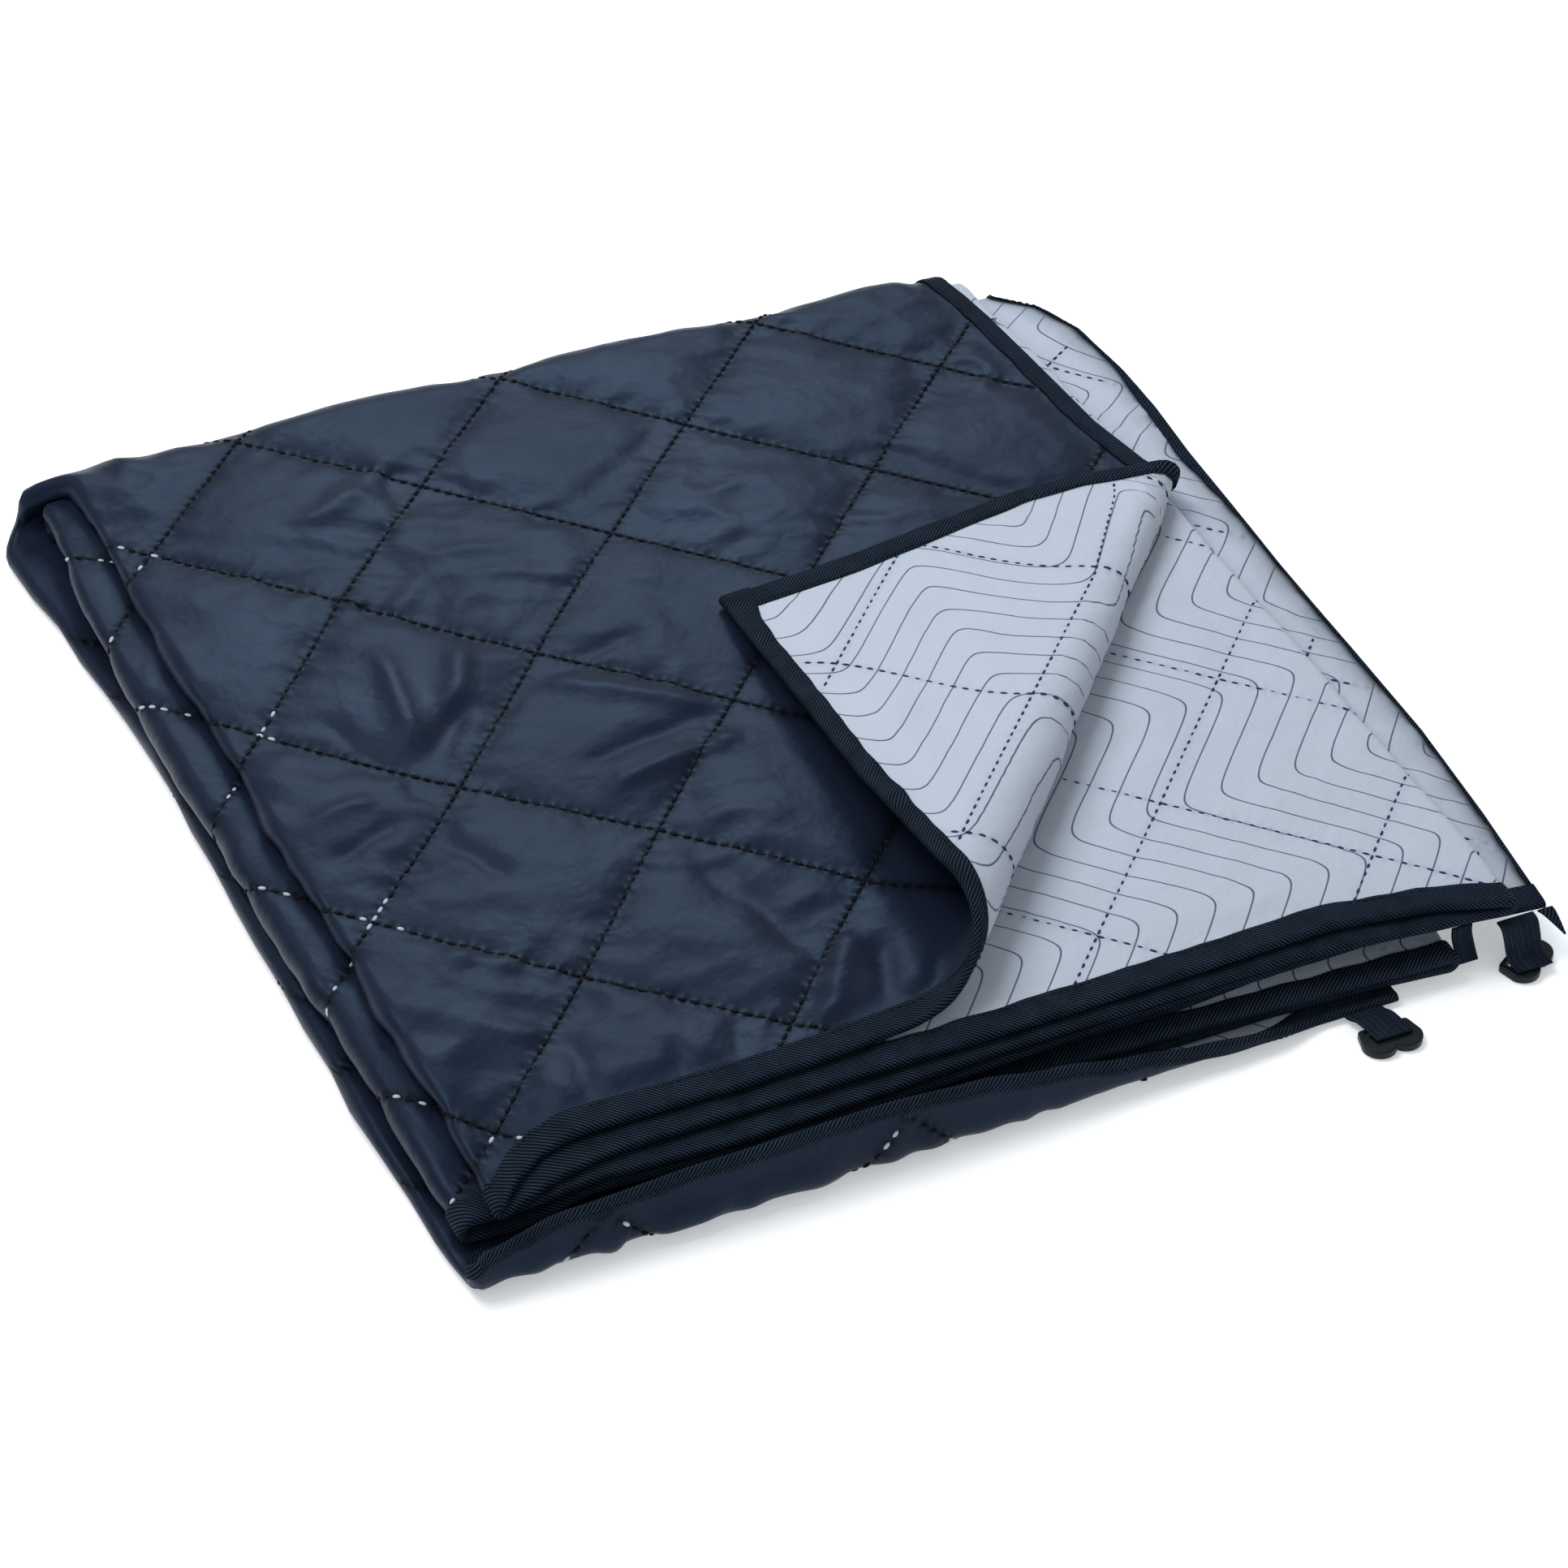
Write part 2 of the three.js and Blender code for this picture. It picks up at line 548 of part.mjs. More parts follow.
// A tape along an edge of the cloth: one cut for each station, joined up and closed at both ends. A station
// gives the place on the cloth at a distance inwards from the edge.
function tape(stations, widths) {
  const skin = new Skin();
  const inwards = ([distance, offset]) => {
    if (distance < 0) return distance;
    return (offset > 0 ? widths.shell : widths.lining) - distance;
  };
  const places = stations.map((station) => TAPE_CUT.map((corner) => station(inwards(corner))));
  const cornerOf = ({ across, way }, k) => skin.add(clothPoint(across, way, TAPE_CUT[k][1]));
  const cuts = places.map((cut) => cut.map(cornerOf));
  const around = TAPE_CUT.length;
  for (let i = 0; i + 1 < cuts.length; i += 1) {
    for (let k = 0; k < around; k += 1) {
      const next = (k + 1) % around;
      const corners = [cuts[i][k], cuts[i + 1][k], cuts[i + 1][next], cuts[i][next]];
      const between = [places[i][k], places[i + 1][k], places[i + 1][next], places[i][next]];
      skin.quad(...corners, splitsSecond(between));
    }
  }
  const [start, end] = [cuts[0], cuts.at(-1)];
  for (let k = 0; k + 1 < around / 2; k += 1) {
    const corners = [k, k + 1, around - 2 - k, around - 1 - k];
    skin.quad(...corners.map((index) => start[index]));
    skin.quad(...corners.map((index) => end[index]).reverse());
  }
  return skin.geometry();
}

// The tape on a short edge follows every column, and runs past both long edges to cover the corners.
function shortEdgeTape(half) {
  const columns = [
    { layer: 0, edge: -TAPE_LIP, nominal: 0 },
    ...COLUMNS,
    { layer: 6, edge: -TAPE_LIP, nominal: 7 },
  ];
  const station = (column) => (inward) => crossing(column, { half, edge: inward });
  return tape(columns.map(station), TAPE_WIDTHS[half]);
}

// The tape on a long edge runs between the two short edge tapes.
function longEdgeTape(layer) {
  const rows = layer === 0 ? FINE : COARSE;
  const butt = RIM_WIDTH + GAP;
  const between = rows.filter((row) => row.edge === undefined || row.edge > butt);
  const all = [{ half: "upper", edge: butt }, ...between, { half: "lower", edge: butt }];
  const nominal = layer === 0 ? 0 : 7;
  const station = (row) => (inward) => crossing({ layer, edge: inward, nominal }, row);
  return tape(all.map(station), layer === 0 ? TAPE_WIDTHS.outer : TAPE_WIDTHS.inner);
}

// A strap bent along its line; its width goes sideways and runs evenly from one end's to the other's.
function strap({ line, widths }) {
  const bends = line.map(([forward, up, sideways]) => new THREE.Vector3(sideways, -forward, up));
  const curve = new THREE.CatmullRomCurve3(bends);
  const side = new THREE.Vector3(1, 0, 0);
  const skin = new Skin();
  const cuts = [];
  for (let i = 0; i <= STRAP_STEPS; i += 1) {
    const share = i / STRAP_STEPS;
    const middle = curve.getPointAt(share);
    const normal = new THREE.Vector3().crossVectors(side, curve.getTangentAt(share));
    normal.setLength(STRAP_THICKNESS / 2);
    const half = mix(widths[0], widths[1], share) / 2;
    const corner = ([across, over]) =>
      skin.add(middle.clone().addScaledVector(side, across * half).addScaledVector(normal, over));
    cuts.push([[-1, 1], [1, 1], [1, -1], [-1, -1]].map(corner));
  }
  for (let i = 0; i < STRAP_STEPS; i += 1) {
    for (let k = 0; k < 4; k += 1) {
      const next = (k + 1) % 4;
      skin.quad(cuts[i][k], cuts[i + 1][k], cuts[i + 1][next], cuts[i][next]);
    }
  }
  skin.quad(...cuts[0]);
  skin.quad(...cuts[STRAP_STEPS].slice().reverse());
  return skin.geometry();
}

// A moulded hook: a plate with two round lobes in front and a slot for the strap at the back.
function hookPlate() {
  const { lobeRadius, lobeOffset, backY, backHalfWidth, thickness } = HOOK;
  const notch = Math.acos(lobeOffset / lobeRadius); // the angle each lobe's arc stops short by
  const outline = new THREE.Shape();
  outline.moveTo(-backHalfWidth, backY);
  outline.lineTo(-lobeOffset - lobeRadius, 0);
  outline.absarc(-lobeOffset, 0, lobeRadius, Math.PI, 2 * Math.PI - notch, false);
  outline.absarc(lobeOffset, 0, lobeRadius, Math.PI + notch, 2 * Math.PI, false);
  outline.lineTo(backHalfWidth, backY);
  outline.closePath();
  const slot = new THREE.Path();
  slot.moveTo(-HOOK_SLOT.halfWidth, HOOK_SLOT.near);
  slot.lineTo(-HOOK_SLOT.halfWidth, HOOK_SLOT.far);
  slot.lineTo(HOOK_SLOT.halfWidth, HOOK_SLOT.far);
  slot.lineTo(HOOK_SLOT.halfWidth, HOOK_SLOT.near);
  slot.closePath();
  outline.holes.push(slot);
  return new THREE.ExtrudeGeometry(outline, {
    depth: thickness,
    bevelEnabled: false,
    curveSegments: HOOK_SEGMENTS,
  });
}

const material = (color, roughness) => new THREE.MeshStandardMaterial({ color, roughness, metalness: 0 });
const quiltCloth = material(0x2e3a50, 0.45);
const tapeCloth = material(0x14161c, 0.85);
const elastic = material(0x101216, 0.8);
const plastic = material(0x15171c, 0.4);

const carpet = new THREE.Group();
function addPiece(name, geometry, finish, place = { x: 0, y: 0 }) {
  const mesh = new THREE.Mesh(geometry, finish);
  mesh.name = name;
  mesh.position.set(place.x, place.y, 0);
  mesh.rotation.z = place.turn ?? 0;
  carpet.add(mesh);
}

addPiece("quilted_sheet", quiltedSheet(), quiltCloth);
addPiece("binding_front_upper", shortEdgeTape("upper"), tapeCloth);
addPiece("binding_front_lower", shortEdgeTape("lower"), tapeCloth);
addPiece("binding_side_outer", longEdgeTape(0), tapeCloth);
addPiece("binding_side_inner", longEdgeTape(6), tapeCloth);
addPiece("binding_loose_end", strap(LOOSE_END), tapeCloth, LOOSE_END.start);
addPiece("strap_front", strap(FRONT_STRAP), elastic, FRONT_STRAP.start);
addPiece("strap_corner", strap(CORNER_STRAP), elastic, CORNER_STRAP.start);
addPiece("strap_short", strap(SHORT_STRAP), elastic, SHORT_STRAP.start);
addPiece("hook_front", hookPlate(), plastic, FRONT_HOOK);
addPiece("hook_corner", hookPlate(), plastic, CORNER_HOOK);

export default carpet;
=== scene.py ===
"""A quilted tent carpet folded to a flat bundle, one corner turned back, with bindings and straps."""
import logging
import math
from collections.abc import Callable, Iterator
from dataclasses import dataclass, field
from enum import Enum

import bmesh
import bpy
import numpy as np
from mathutils import Matrix, Vector


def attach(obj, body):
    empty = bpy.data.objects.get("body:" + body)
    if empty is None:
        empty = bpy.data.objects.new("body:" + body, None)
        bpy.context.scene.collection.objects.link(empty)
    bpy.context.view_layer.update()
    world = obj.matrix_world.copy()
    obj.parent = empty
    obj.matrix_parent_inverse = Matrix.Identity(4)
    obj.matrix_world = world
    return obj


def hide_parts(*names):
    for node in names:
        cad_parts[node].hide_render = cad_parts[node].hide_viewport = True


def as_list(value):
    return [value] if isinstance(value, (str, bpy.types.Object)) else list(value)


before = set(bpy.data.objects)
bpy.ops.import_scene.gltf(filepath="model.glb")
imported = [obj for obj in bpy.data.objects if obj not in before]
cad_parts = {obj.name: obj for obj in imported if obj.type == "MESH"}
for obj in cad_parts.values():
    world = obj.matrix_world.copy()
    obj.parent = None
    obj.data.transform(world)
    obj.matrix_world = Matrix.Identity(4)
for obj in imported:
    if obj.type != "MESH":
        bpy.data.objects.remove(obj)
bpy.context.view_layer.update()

LOG = logging.getLogger("tent_carpet")
MM = 0.001
BODY = "root"
FLAT_MAP = "flat"
PALE = "pale"
LIE = "lie"
Array = np.ndarray
Colour = tuple[float, float, float]
Point = tuple[float, float, float]
Span = tuple[float, float]
Material = bpy.types.Material
Mesh = bpy.types.Mesh
Piece = bpy.types.Object
Socket = bpy.types.NodeSocket
Sockets = bpy.types.bpy_prop_collection
Tree = bpy.types.NodeTree


class Face(Enum):
    """The two faces of the quilted cloth, by the side of its middle that they lie on."""

    SHELL = 1
    LINING = -1


def smooth(value: Array) -> Array:
    """Eases a share from 0 to 1 with level ends."""
    held = np.clip(value, 0.0, 1.0)
    return held * held * (3.0 - 2.0 * held)


def ease(value: Array, span: Span) -> Array:
    """Eases from 0 at a span's start to 1 at its end."""
    return smooth((value - span[0]) / (span[1] - span[0]))


def blend(first: Array, second: Array, share: Array) -> Array:
    """Goes from the first value to the second by a share."""
    return first + (second - first) * share


def table_value(rows: Array, place: Array, column: int, eased: bool = False) -> Array:
    """Reads one column of a table whose first column is the place.

    Args:
        rows: the table, with rising places.
        place: where to read it.
        column: which column to read.
        eased: whether the value eases between rows instead of going straight.

    Returns:
        The column's value at each place.
    """
    keys = rows[:, 0]
    after = np.clip(np.searchsorted(keys, place, side="right"), 1, len(keys) - 1)
    share = np.clip((place - keys[after - 1]) / (keys[after] - keys[after - 1]), 0.0, 1.0)
    return blend(rows[after - 1, column], rows[after, column], smooth(share) if eased else share)


def waves(u: Array, v: Array, length: float, seed: int, count: int = 9) -> Array:
    """Adds up plane waves of many headings to an even, unrepeating swell.

    Args:
        u: first flat coordinate.
        v: second flat coordinate.
        length: middle wave length, in the coordinates' unit.
        seed: fixes the headings and phases.
        count: how many waves.

    Returns:
        A value of about -1 to 1 at each place.
    """
    draw = np.random.default_rng(seed)
    total = np.zeros_like(u)
    for heading, phase, stretch in zip(
        draw.uniform(0, math.tau, count), draw.uniform(0, math.tau, count), draw.uniform(0.65, 1.5, count)
    ):
        way = (u * math.cos(heading) + v * math.sin(heading)) * math.tau / (length * stretch)
        total = total + np.sin(way + phase)
    return total / math.sqrt(count)


@dataclass
class FoldPlan:
    """How the flat cloth lies in the bundle, in millimetres.

    across counts the way through a section: 0 to 1 layer 1, 1 to 2 its left fold, 2 to 3 layer 2, 3 to 4 the
    right fold, 4 to 5 layer 3, 5 to 6 the inner left fold, 6 to 7 layer 4. way goes from the front of the
    upper half (0) over the back (1 to 2) to the front of the lower half (3).
    """

    thickness: float = 4.4
    pitch: float = 5.2
    back_y: float = 258.0
    ramp: Span = (-190.0, -236.0)
    apex: tuple[float, float] = (378.2, 199.3)
    heading: float = math.radians(226.52)
    half_angle: float = 0.0341
    turn: float = 3.2582
    lip_radius: float = 8.0
    lip_turn: float = math.radians(102.0)
    lip_layers: float = 2.0
    # at, top x, height and radius, inner x, height and radius, right x
    folds: Array = field(default_factory=lambda: np.array([
        [0, -243, 8.9, 2.6, -256, -3.4, 4.8, 243],
        [0.14, -243, 15.6, 3, -259, 1.5, 6, 244],
        [0.45, -244, 15.6, 3, -264, 1.5, 6, 245],
        [0.72, -244, 15.6, 3, -266, 1.5, 6, 245],
        [0.84, -244, 15.6, 2.6, -264, 5.2, 2.6, 243],
        [1, -242, 15.6, 2.6, -257, 5.2, 2.6, 238],
        [1.35, -265, 15.6, 2.6, -257, 5.2, 2.6, 237],
        [2, -277, 15.6, 2.6, -257, 5.2, 2.6, 236],
        [2.15, -270, 15.6, 2.6, -184, 5.2, 2.6, 236],
        [2.3, -264.5, 13.8, 4.4, -184, 5.2, 2.6, 234],
        [2.45, -265.5, 13.8, 4.4, -184, 5.2, 2.6, 230],
        [2.78, -265.5, 13.8, 4.4, -184, 5.2, 2.6, 222],
        [2.9, -262, 15.6, 2.6, -184, 5.2, 2.6, 218],
        [3, -259.5, 15.6, 2.6, -184, 5.2, 2.6, 214],
    ]))
    # at, end of layer 1, end of layer 4
    ends: Array = field(default_factory=lambda: np.array([
        [0, 287.6, 258.5], [0.06, 285, 262.2], [0.12, 282, 266], [0.24, 280.5, 271.5], [0.36, 279.5, 273],
        [0.43, 273.5, 273.6], [0.5, 262, 274.5], [0.55, 252, 275.8], [0.6, 243.5, 277], [0.69, 236.5, 278.8],
        [0.77, 234.5, 282], [0.84, 232.5, 282.5], [0.92, 230, 279], [0.97, 227.5, 269], [1, 225, 252],
        [2, 222, 252], [3, 180, 254],
    ]))
    # across, front of the upper half, front of the lower half
    fronts: Array = field(default_factory=lambda: np.array([
        [0, -194.6, -274], [0.15, -211, -274], [0.3, -228, -274], [0.45, -240, -274], [0.6, -246, -274],
        [0.7, -251, -274], [0.78, -252.5, -274], [0.92, -251.5, -274], [0.955, -254, -274],
        [0.98, -262, -274], [1, -273, -300.5], [1.7, -273, -298], [2, -273, -278], [2.05, -266, -270],
        [2.12, -262.5, -266], [2.25, -262, -267], [2.45, -261.5, -271], [2.65, -259.5, -272],
        [2.83, -257, -272], [2.93, -264, -274], [3, -274, -277], [4, -274, -277], [4.2, -264, -274],
        [4.5, -266, -270], [4.75, -273, -262], [5, -267, -255], [6, -267, -255], [6.25, -274, -258],
        [6.5, -267, -262], [6.6, -264, -262], [6.75, -263, -256], [6.85, -262, -248], [7, -271, -250],
    ]))
    # x, how far the lowest layer's front margin goes past the line where it bends up, and the line's Y
    lips: Array = field(default_factory=lambda: np.array([
        [-253.2, 24, -280], [-215, 32, -280], [-150, 35, -280], [-70, 36, -279], [-28, 33, -278],
        [10, 27, -277.3], [47, 20.5, -276.8], [80, 15.5, -276.3], [110, 12, -276], [145, 5, -275.5],
    ]))
    # x, and how far the back edge is shifted there
    back_line: Array = field(default_factory=lambda: np.array([
        [-280, -4], [-240, -0.5], [-100, 2.5], [0, 1.5], [100, -1], [170, -3.5], [225, -6.5], [285, -7],
    ]))
    # how far the cloth slips along itself: on layer 2, at the left, on the lowest layer and where rolled
    second_slip: float = 43.0
    second_share: float = 0.42
    left_slip: float = 11.0
    left_span: Span = (-40.0, -190.0)
    left_front_span: Span = (140.0, 20.0)
    left_across_span: Span = (2.2, 1.2)
    under_slip: float = 27.0
    under_span: Span = (2.05, 2.75)
    corner_slip: float = 10.0
    corner_span: Span = (-45.0, 25.0)
    outer_slip: float = 9.0
    outer_draw: float = 30.0
    outer_span: Span = (50.0, 160.0)
    draw_rate: float = 0.235
    draw_from: float = -227.0
    draw_most: float = 42.0
    draw_span: Span = (60.0, 0.0)

    @property
    def half(self) -> float:
        """Half the cloth's thickness."""
        return self.thickness / 2

    @property
    def middle_z(self) -> float:
        """The level that the lower half mirrors."""
        return 3.5 * self.pitch + self.half

    def state(self, way: Array) -> dict[str, Array]:
        """Gives the folds' centres and radii, and the cloth's ends, at places on the way over the back.

        Args:
            way: places on the way.

        Returns:
            The values by name, each as long as way.
        """
        names = ("top_x", "top_height", "top_radius", "inner_x", "inner_height", "inner_radius", "right_x")
        fold = {name: table_value(self.folds, way, k, eased=True) for k, name in enumerate(names, start=1)}
        fold["top_x"] = fold["top_x"] + fold["top_radius"] + self.half
        fold["inner_x"] = fold["inner_x"] + fold["inner_radius"] + self.half
        fold["right_x"] = fold["right_x"] - self.pitch / 2 - self.half
        for column, side in enumerate(("top", "inner"), start=1):
            fold[side + "_end"] = table_value(self.ends, way, column)
            fold[side + "_run"] = fold[side + "_end"] - fold[side + "_x"]
        return fold

    def section(self, across: Array, fold: dict[str, Array]) -> tuple[Array, Array, Array]:
        """Follows the middle line of the section.

        Args:
            across: places through the section.
            fold: the folds there, from state.

        Returns:
            x, the height over the middle level, and the flat coordinate along the section.
        """
        layer = np.clip(np.floor(across), 0, 6)
        share = across - layer
        neat = self.pitch / 2
        heights = [count * self.pitch for count in (3.5, 2.5, 1.5, 0.5)]
        top_x, right_x, inner_x = fold["top_x"], fold["right_x"], fold["inner_x"]
        inner_top = fold["inner_height"] + fold["inner_radius"]
        inner_low = fold["inner_height"] - fold["inner_radius"]

        def arc(x: Array, height: Array, radius: Array, angle: Array) -> tuple[Array, Array]:
            """A point on a fold's arc."""
            return x + radius * np.cos(angle), height + radius * np.sin(angle)

        def level(x: Array, own: float, at_fold: Array) -> tuple[Array, Array]:
            """A point on a layer, which leaves its level for the fold at the left."""
            return x, blend(own, at_fold, ease(x, self.ramp))

        quarter = math.pi / 2
        stretches = [
            level(blend(fold["top_end"], top_x, share), heights[0], fold["top_height"] + fold["top_radius"]),
            arc(top_x, fold["top_height"], fold["top_radius"], quarter + math.pi * share),
            level(blend(top_x, right_x, share), heights[1], fold["top_height"] - fold["top_radius"]),
            arc(right_x, 2 * self.pitch, neat, quarter - math.pi * share),
            level(blend(right_x, inner_x, share), heights[2], inner_top),
            arc(inner_x, fold["inner_height"], fold["inner_radius"], quarter + math.pi * share),
            level(blend(inner_x, fold["inner_end"], share), heights[3], inner_low),
        ]
        here = [layer == k for k in range(7)]
        x = np.select(here, [stretch[0] for stretch in stretches])
        height = np.select(here, [stretch[1] for stretch in stretches])
        past_top = top_x - math.pi * fold["top_radius"]
        past_two = past_top - (right_x - top_x)
        past_right = past_two - math.pi * neat
        past_three = past_right - (right_x - inner_x)
        past_inner = past_three - math.pi * fold["inner_radius"]
        flat = np.select(here, [
            x, blend(top_x, past_top, share), past_top - (x - top_x), blend(past_two, past_right, share),
            past_right - (right_x - x), blend(past_three, past_inner, share), past_inner - (x - inner_x),
        ])
        slips = [smooth(share / self.second_share), 1.0, 1 - smooth(share)]
        hidden = np.select(here[2:5], slips, 0.0)
        return x, height, flat + self.second_slip * hidden

    def normal(self, across: Array, fold: dict[str, Array]) -> tuple[Array, Array]:
        """Gives the direction, in the section, from the lining to the shell.

        Args:
            across: places through the section.
            fold: the folds there.

        Returns:
            The direction's x and height.
        """
        step = 0.002
        x0, height0, _ = self.section(across - step, fold)
        x1, height1, _ = self.section(across + step, fold)
        length = np.hypot(x1 - x0, height1 - height0)
        return (height1 - height0) / length, (x0 - x1) / length

    def front(self, across: Array, lower: bool) -> Array:
        """Gives the Y of a short edge of the cloth.

        Args:
            across: places through the section.
            lower: whether it is the lower half's edge.

        Returns:
            Y at each place.
        """
        edge = table_value(self.fronts, across, 2 if lower else 1)
        if not lower:
            return edge
        fold = self.state(np.array(3.0))
        x = blend(fold["top_end"], fold["top_x"], across)
        return np.where(across < 1, self.lip_line(x) - table_value(self.lips, x, 1, eased=True), edge)

    def depth(self, across: Array, lower: bool) -> Array:
        """Gives the length from a short edge of the cloth to the back."""
        return self.back_y - self.front(across, lower)

    def lip_line(self, x: Array) -> Array:
        """Gives the Y of the line where the lowest layer's front margin bends up."""
        return table_value(self.lips, x, 2, eased=True)

    def flat(self, across: Array, way: Array) -> tuple[Array, Array]:
        """Gives the flat coordinates of places on the cloth, along the section and from front to back.

        Args:
            across: places through the section.
            way: places on the way over the back.

        Returns:
            The two flat coordinates.
        """
        fold = self.state(way)
        x, height, u = self.section(across, fold)
        upper = blend(self.front(across, False), self.back_y, np.minimum(way, 1.0))
        lower = blend(self.back_y, self.front(across, True), np.clip(way - 2, 0, 1))
        turned = height * math.pi * np.clip(way - 1, 0, 1)
        away = self.curl_angle(x, upper) * np.hypot(x - self.apex[0], upper - self.apex[1])
        rolled = ease(away, self.corner_span) * ((across < 1) & (way < 1))
        outer = ease(away, self.outer_span) * rolled
        drawn = np.clip(self.draw_rate * (upper - self.draw_from), 0, self.draw_most)
        drawn = drawn * ease(upper, self.draw_span) * rolled + self.outer_draw * outer
        left = ease(x, self.left_span) * ease(upper, self.left_front_span)
        left = left * ease(across, self.left_across_span)
        v = np.where(way <= 1, upper - drawn + self.left_slip * left, 2 * self.back_y + turned - lower)
        under = ease(way, self.under_span) * (across < 1)
        return u - self.corner_slip * rolled - self.outer_slip * outer - self.under_slip * under, v

    def to_edge(self, across: Array, way: Array) -> Array:
        """Gives the distance of places on the cloth from its nearest edge.

        Args:
            across: places through the section.
            way: places on the way over the back.

        Returns:
            The distance at each place.
        """
        fold = self.state(way)
        far = np.full_like(way, 1000.0)
        outer = np.where(across < 1, across * fold["top_run"], far)
        inner = np.where(across > 6, (7 - across) * fold["inner_run"], far)
        upper = np.where(way < 1, way * self.depth(across, False), far)
        lower = np.where(way > 2, (3 - way) * self.depth(across, True), far)
        return np.minimum(np.minimum(outer, inner), np.minimum(upper, lower))

    def curl_angle(self, x: Array, y: Array) -> Array:
        """Gives the angle at the cone's apex by which places of layer 1 are past the turning line.

        Args:
            x: their X.
            y: their Y.

        Returns:
            The angle, positive past the line.
        """
        sine, cosine = math.sin(self.heading), math.cos(self.heading)
        dx, dy = x - self.apex[0], y - self.apex[1]
        return np.arctan2(dy * cosine - dx * sine, dx * cosine + dy * sine)

    def turned_back(self, across: Array, way: Array) -> Array:
        """Finds the turned back corner.

        Args:
            across: places through the section.
            way: places on the way over the back.

        Returns:
            Whether each place lies on the corner.
        """
        x, _, _ = self.section(across, self.state(way))
        y = blend(self.front(across, False), self.back_y, np.minimum(way, 1.0))
        return (across < 1) & (way < 1) & (self.curl_angle(x, y) > 0)

    def curl(self, x: Array, y: Array, z: Array, offset: Array) -> Array:
        """Rolls places of layer 1 over the slim cone of the turned back corner.

        Args:
            x: X on the flat layer.
            y: Y on the flat layer.
            z: level of the flat layer.
            offset: distance from the cloth's middle towards the shell.

        Returns:
            The points, one row each.
        """
        sine, cosine = math.sin(self.half_angle), math.cos(self.half_angle)
        along = np.array([math.cos(self.heading), math.sin(self.heading), 0.0])
        beside = np.array([-along[1], along[0], 0.0])
        axis = along * cosine + np.array([0.0, 0.0, sine])
        radial = along - axis * cosine
        sideways = np.cross(radial, axis)
        sideways *= np.sign(sideways @ beside)
        angle = np.maximum(self.curl_angle(x, y), 0.0)
        turned = np.minimum(angle / sine, self.turn)[..., None]
        rest = angle[..., None] - turned * sine
        line = axis * cosine + radial * np.cos(turned) + sideways * np.sin(turned)
        tangent = (sideways * np.cos(turned) - radial * np.sin(turned)) / sine
        reach = np.hypot(x - self.apex[0], y - self.apex[1])[..., None]
        point = (line * np.cos(rest) + tangent * np.sin(rest)) * reach
        point += np.stack([np.full_like(x, self.apex[0]), np.full_like(x, self.apex[1]), z], axis=-1)
        shell = np.cross(line, tangent)
        shell /= np.linalg.norm(shell, axis=-1, keepdims=True)
        return point + shell * offset[..., None]

    def lip(self, points: Array) -> Array:
        """Bends up what the lowest layers have in front of a line.

        Args:
            points: points of the flat layers, one row each.

        Returns:
            The bent points.
        """
        x, y, z = points[..., 0], points[..., 1], points[..., 2]
        line = self.lip_line(x)
        past = np.maximum(line - y, 0.0)
        angle = np.minimum(past / self.lip_radius, self.lip_turn)
        straight = np.maximum(0.0, past - self.lip_radius * self.lip_turn)
        sine, cosine = np.sin(angle), np.cos(angle)
        centre = self.half + self.lip_radius
        radius = centre - z
        bent_y = line - radius * sine - straight * cosine
        bent_z = centre - radius * cosine + straight * sine
        return np.stack([x, bent_y, bent_z], axis=-1)

    def place(self, across: Array, way: Array, offset: Array) -> Array:
        """Puts places of the cloth into the bundle.

        Args:
            across: places through the section.
            way: places on the way over the back.
            offset: distance from the cloth's middle towards the shell.

        Returns:
            The points in millimetres, one row each.
        """
        across, way, offset = np.broadcast_arrays(np.asarray(across, float), way, offset)
        fold = self.state(way)
        x, height, _ = self.section(across, fold)
        shell_x, shell_height = self.normal(across, fold)
        far_x, far_height = x + shell_x * offset, height + shell_height * offset
        upper_y = blend(self.front(across, False), self.back_y, np.clip(way, None, 1))
        lower_y = blend(self.back_y, self.front(across, True), np.clip(way - 2, 0, None))
        angle = np.clip(way - 1, 0, 1) * math.pi
        upper = np.stack([far_x, upper_y, self.middle_z + far_height], axis=-1)
        turned = np.stack([
            far_x, self.back_y + far_height * np.sin(angle), self.middle_z + far_height * np.cos(angle)
        ], axis=-1)
        lower = np.stack([far_x, lower_y, self.middle_z - far_height], axis=-1)
        rolled = (across < 1) & (way < 1) & (self.curl_angle(x, upper_y) > 0)
        bent = (across < self.lip_layers) & (way > 2) & (lower_y < self.lip_line(x))
        point = np.where((way < 1)[..., None], upper, np.where((way <= 2)[..., None], turned, lower))
        point = np.where(rolled[..., None], self.curl(x, upper_y, self.middle_z + height, offset), point)
        point = np.where(bent[..., None], self.lip(lower), point)
        shift = table_value(self.back_line, point[..., 0], 1, eased=True)
        shift = shift * smooth(point[..., 1] / self.back_y)
        point = point + shift[..., None] * np.array([0.0, 1.0, 0.0])
        return np.maximum(point, [-np.inf, -np.inf, 0.0])

    def lie(self, across: Array, way: Array) -> Array:
        """Gives the direction from the lining to the shell in the bundle, one unit row for each place."""
        out = self.place(across, way, np.full_like(way, 1.0)) - self.place(across, way, np.zeros_like(way))
        return out / np.linalg.norm(out, axis=-1, keepdims=True)


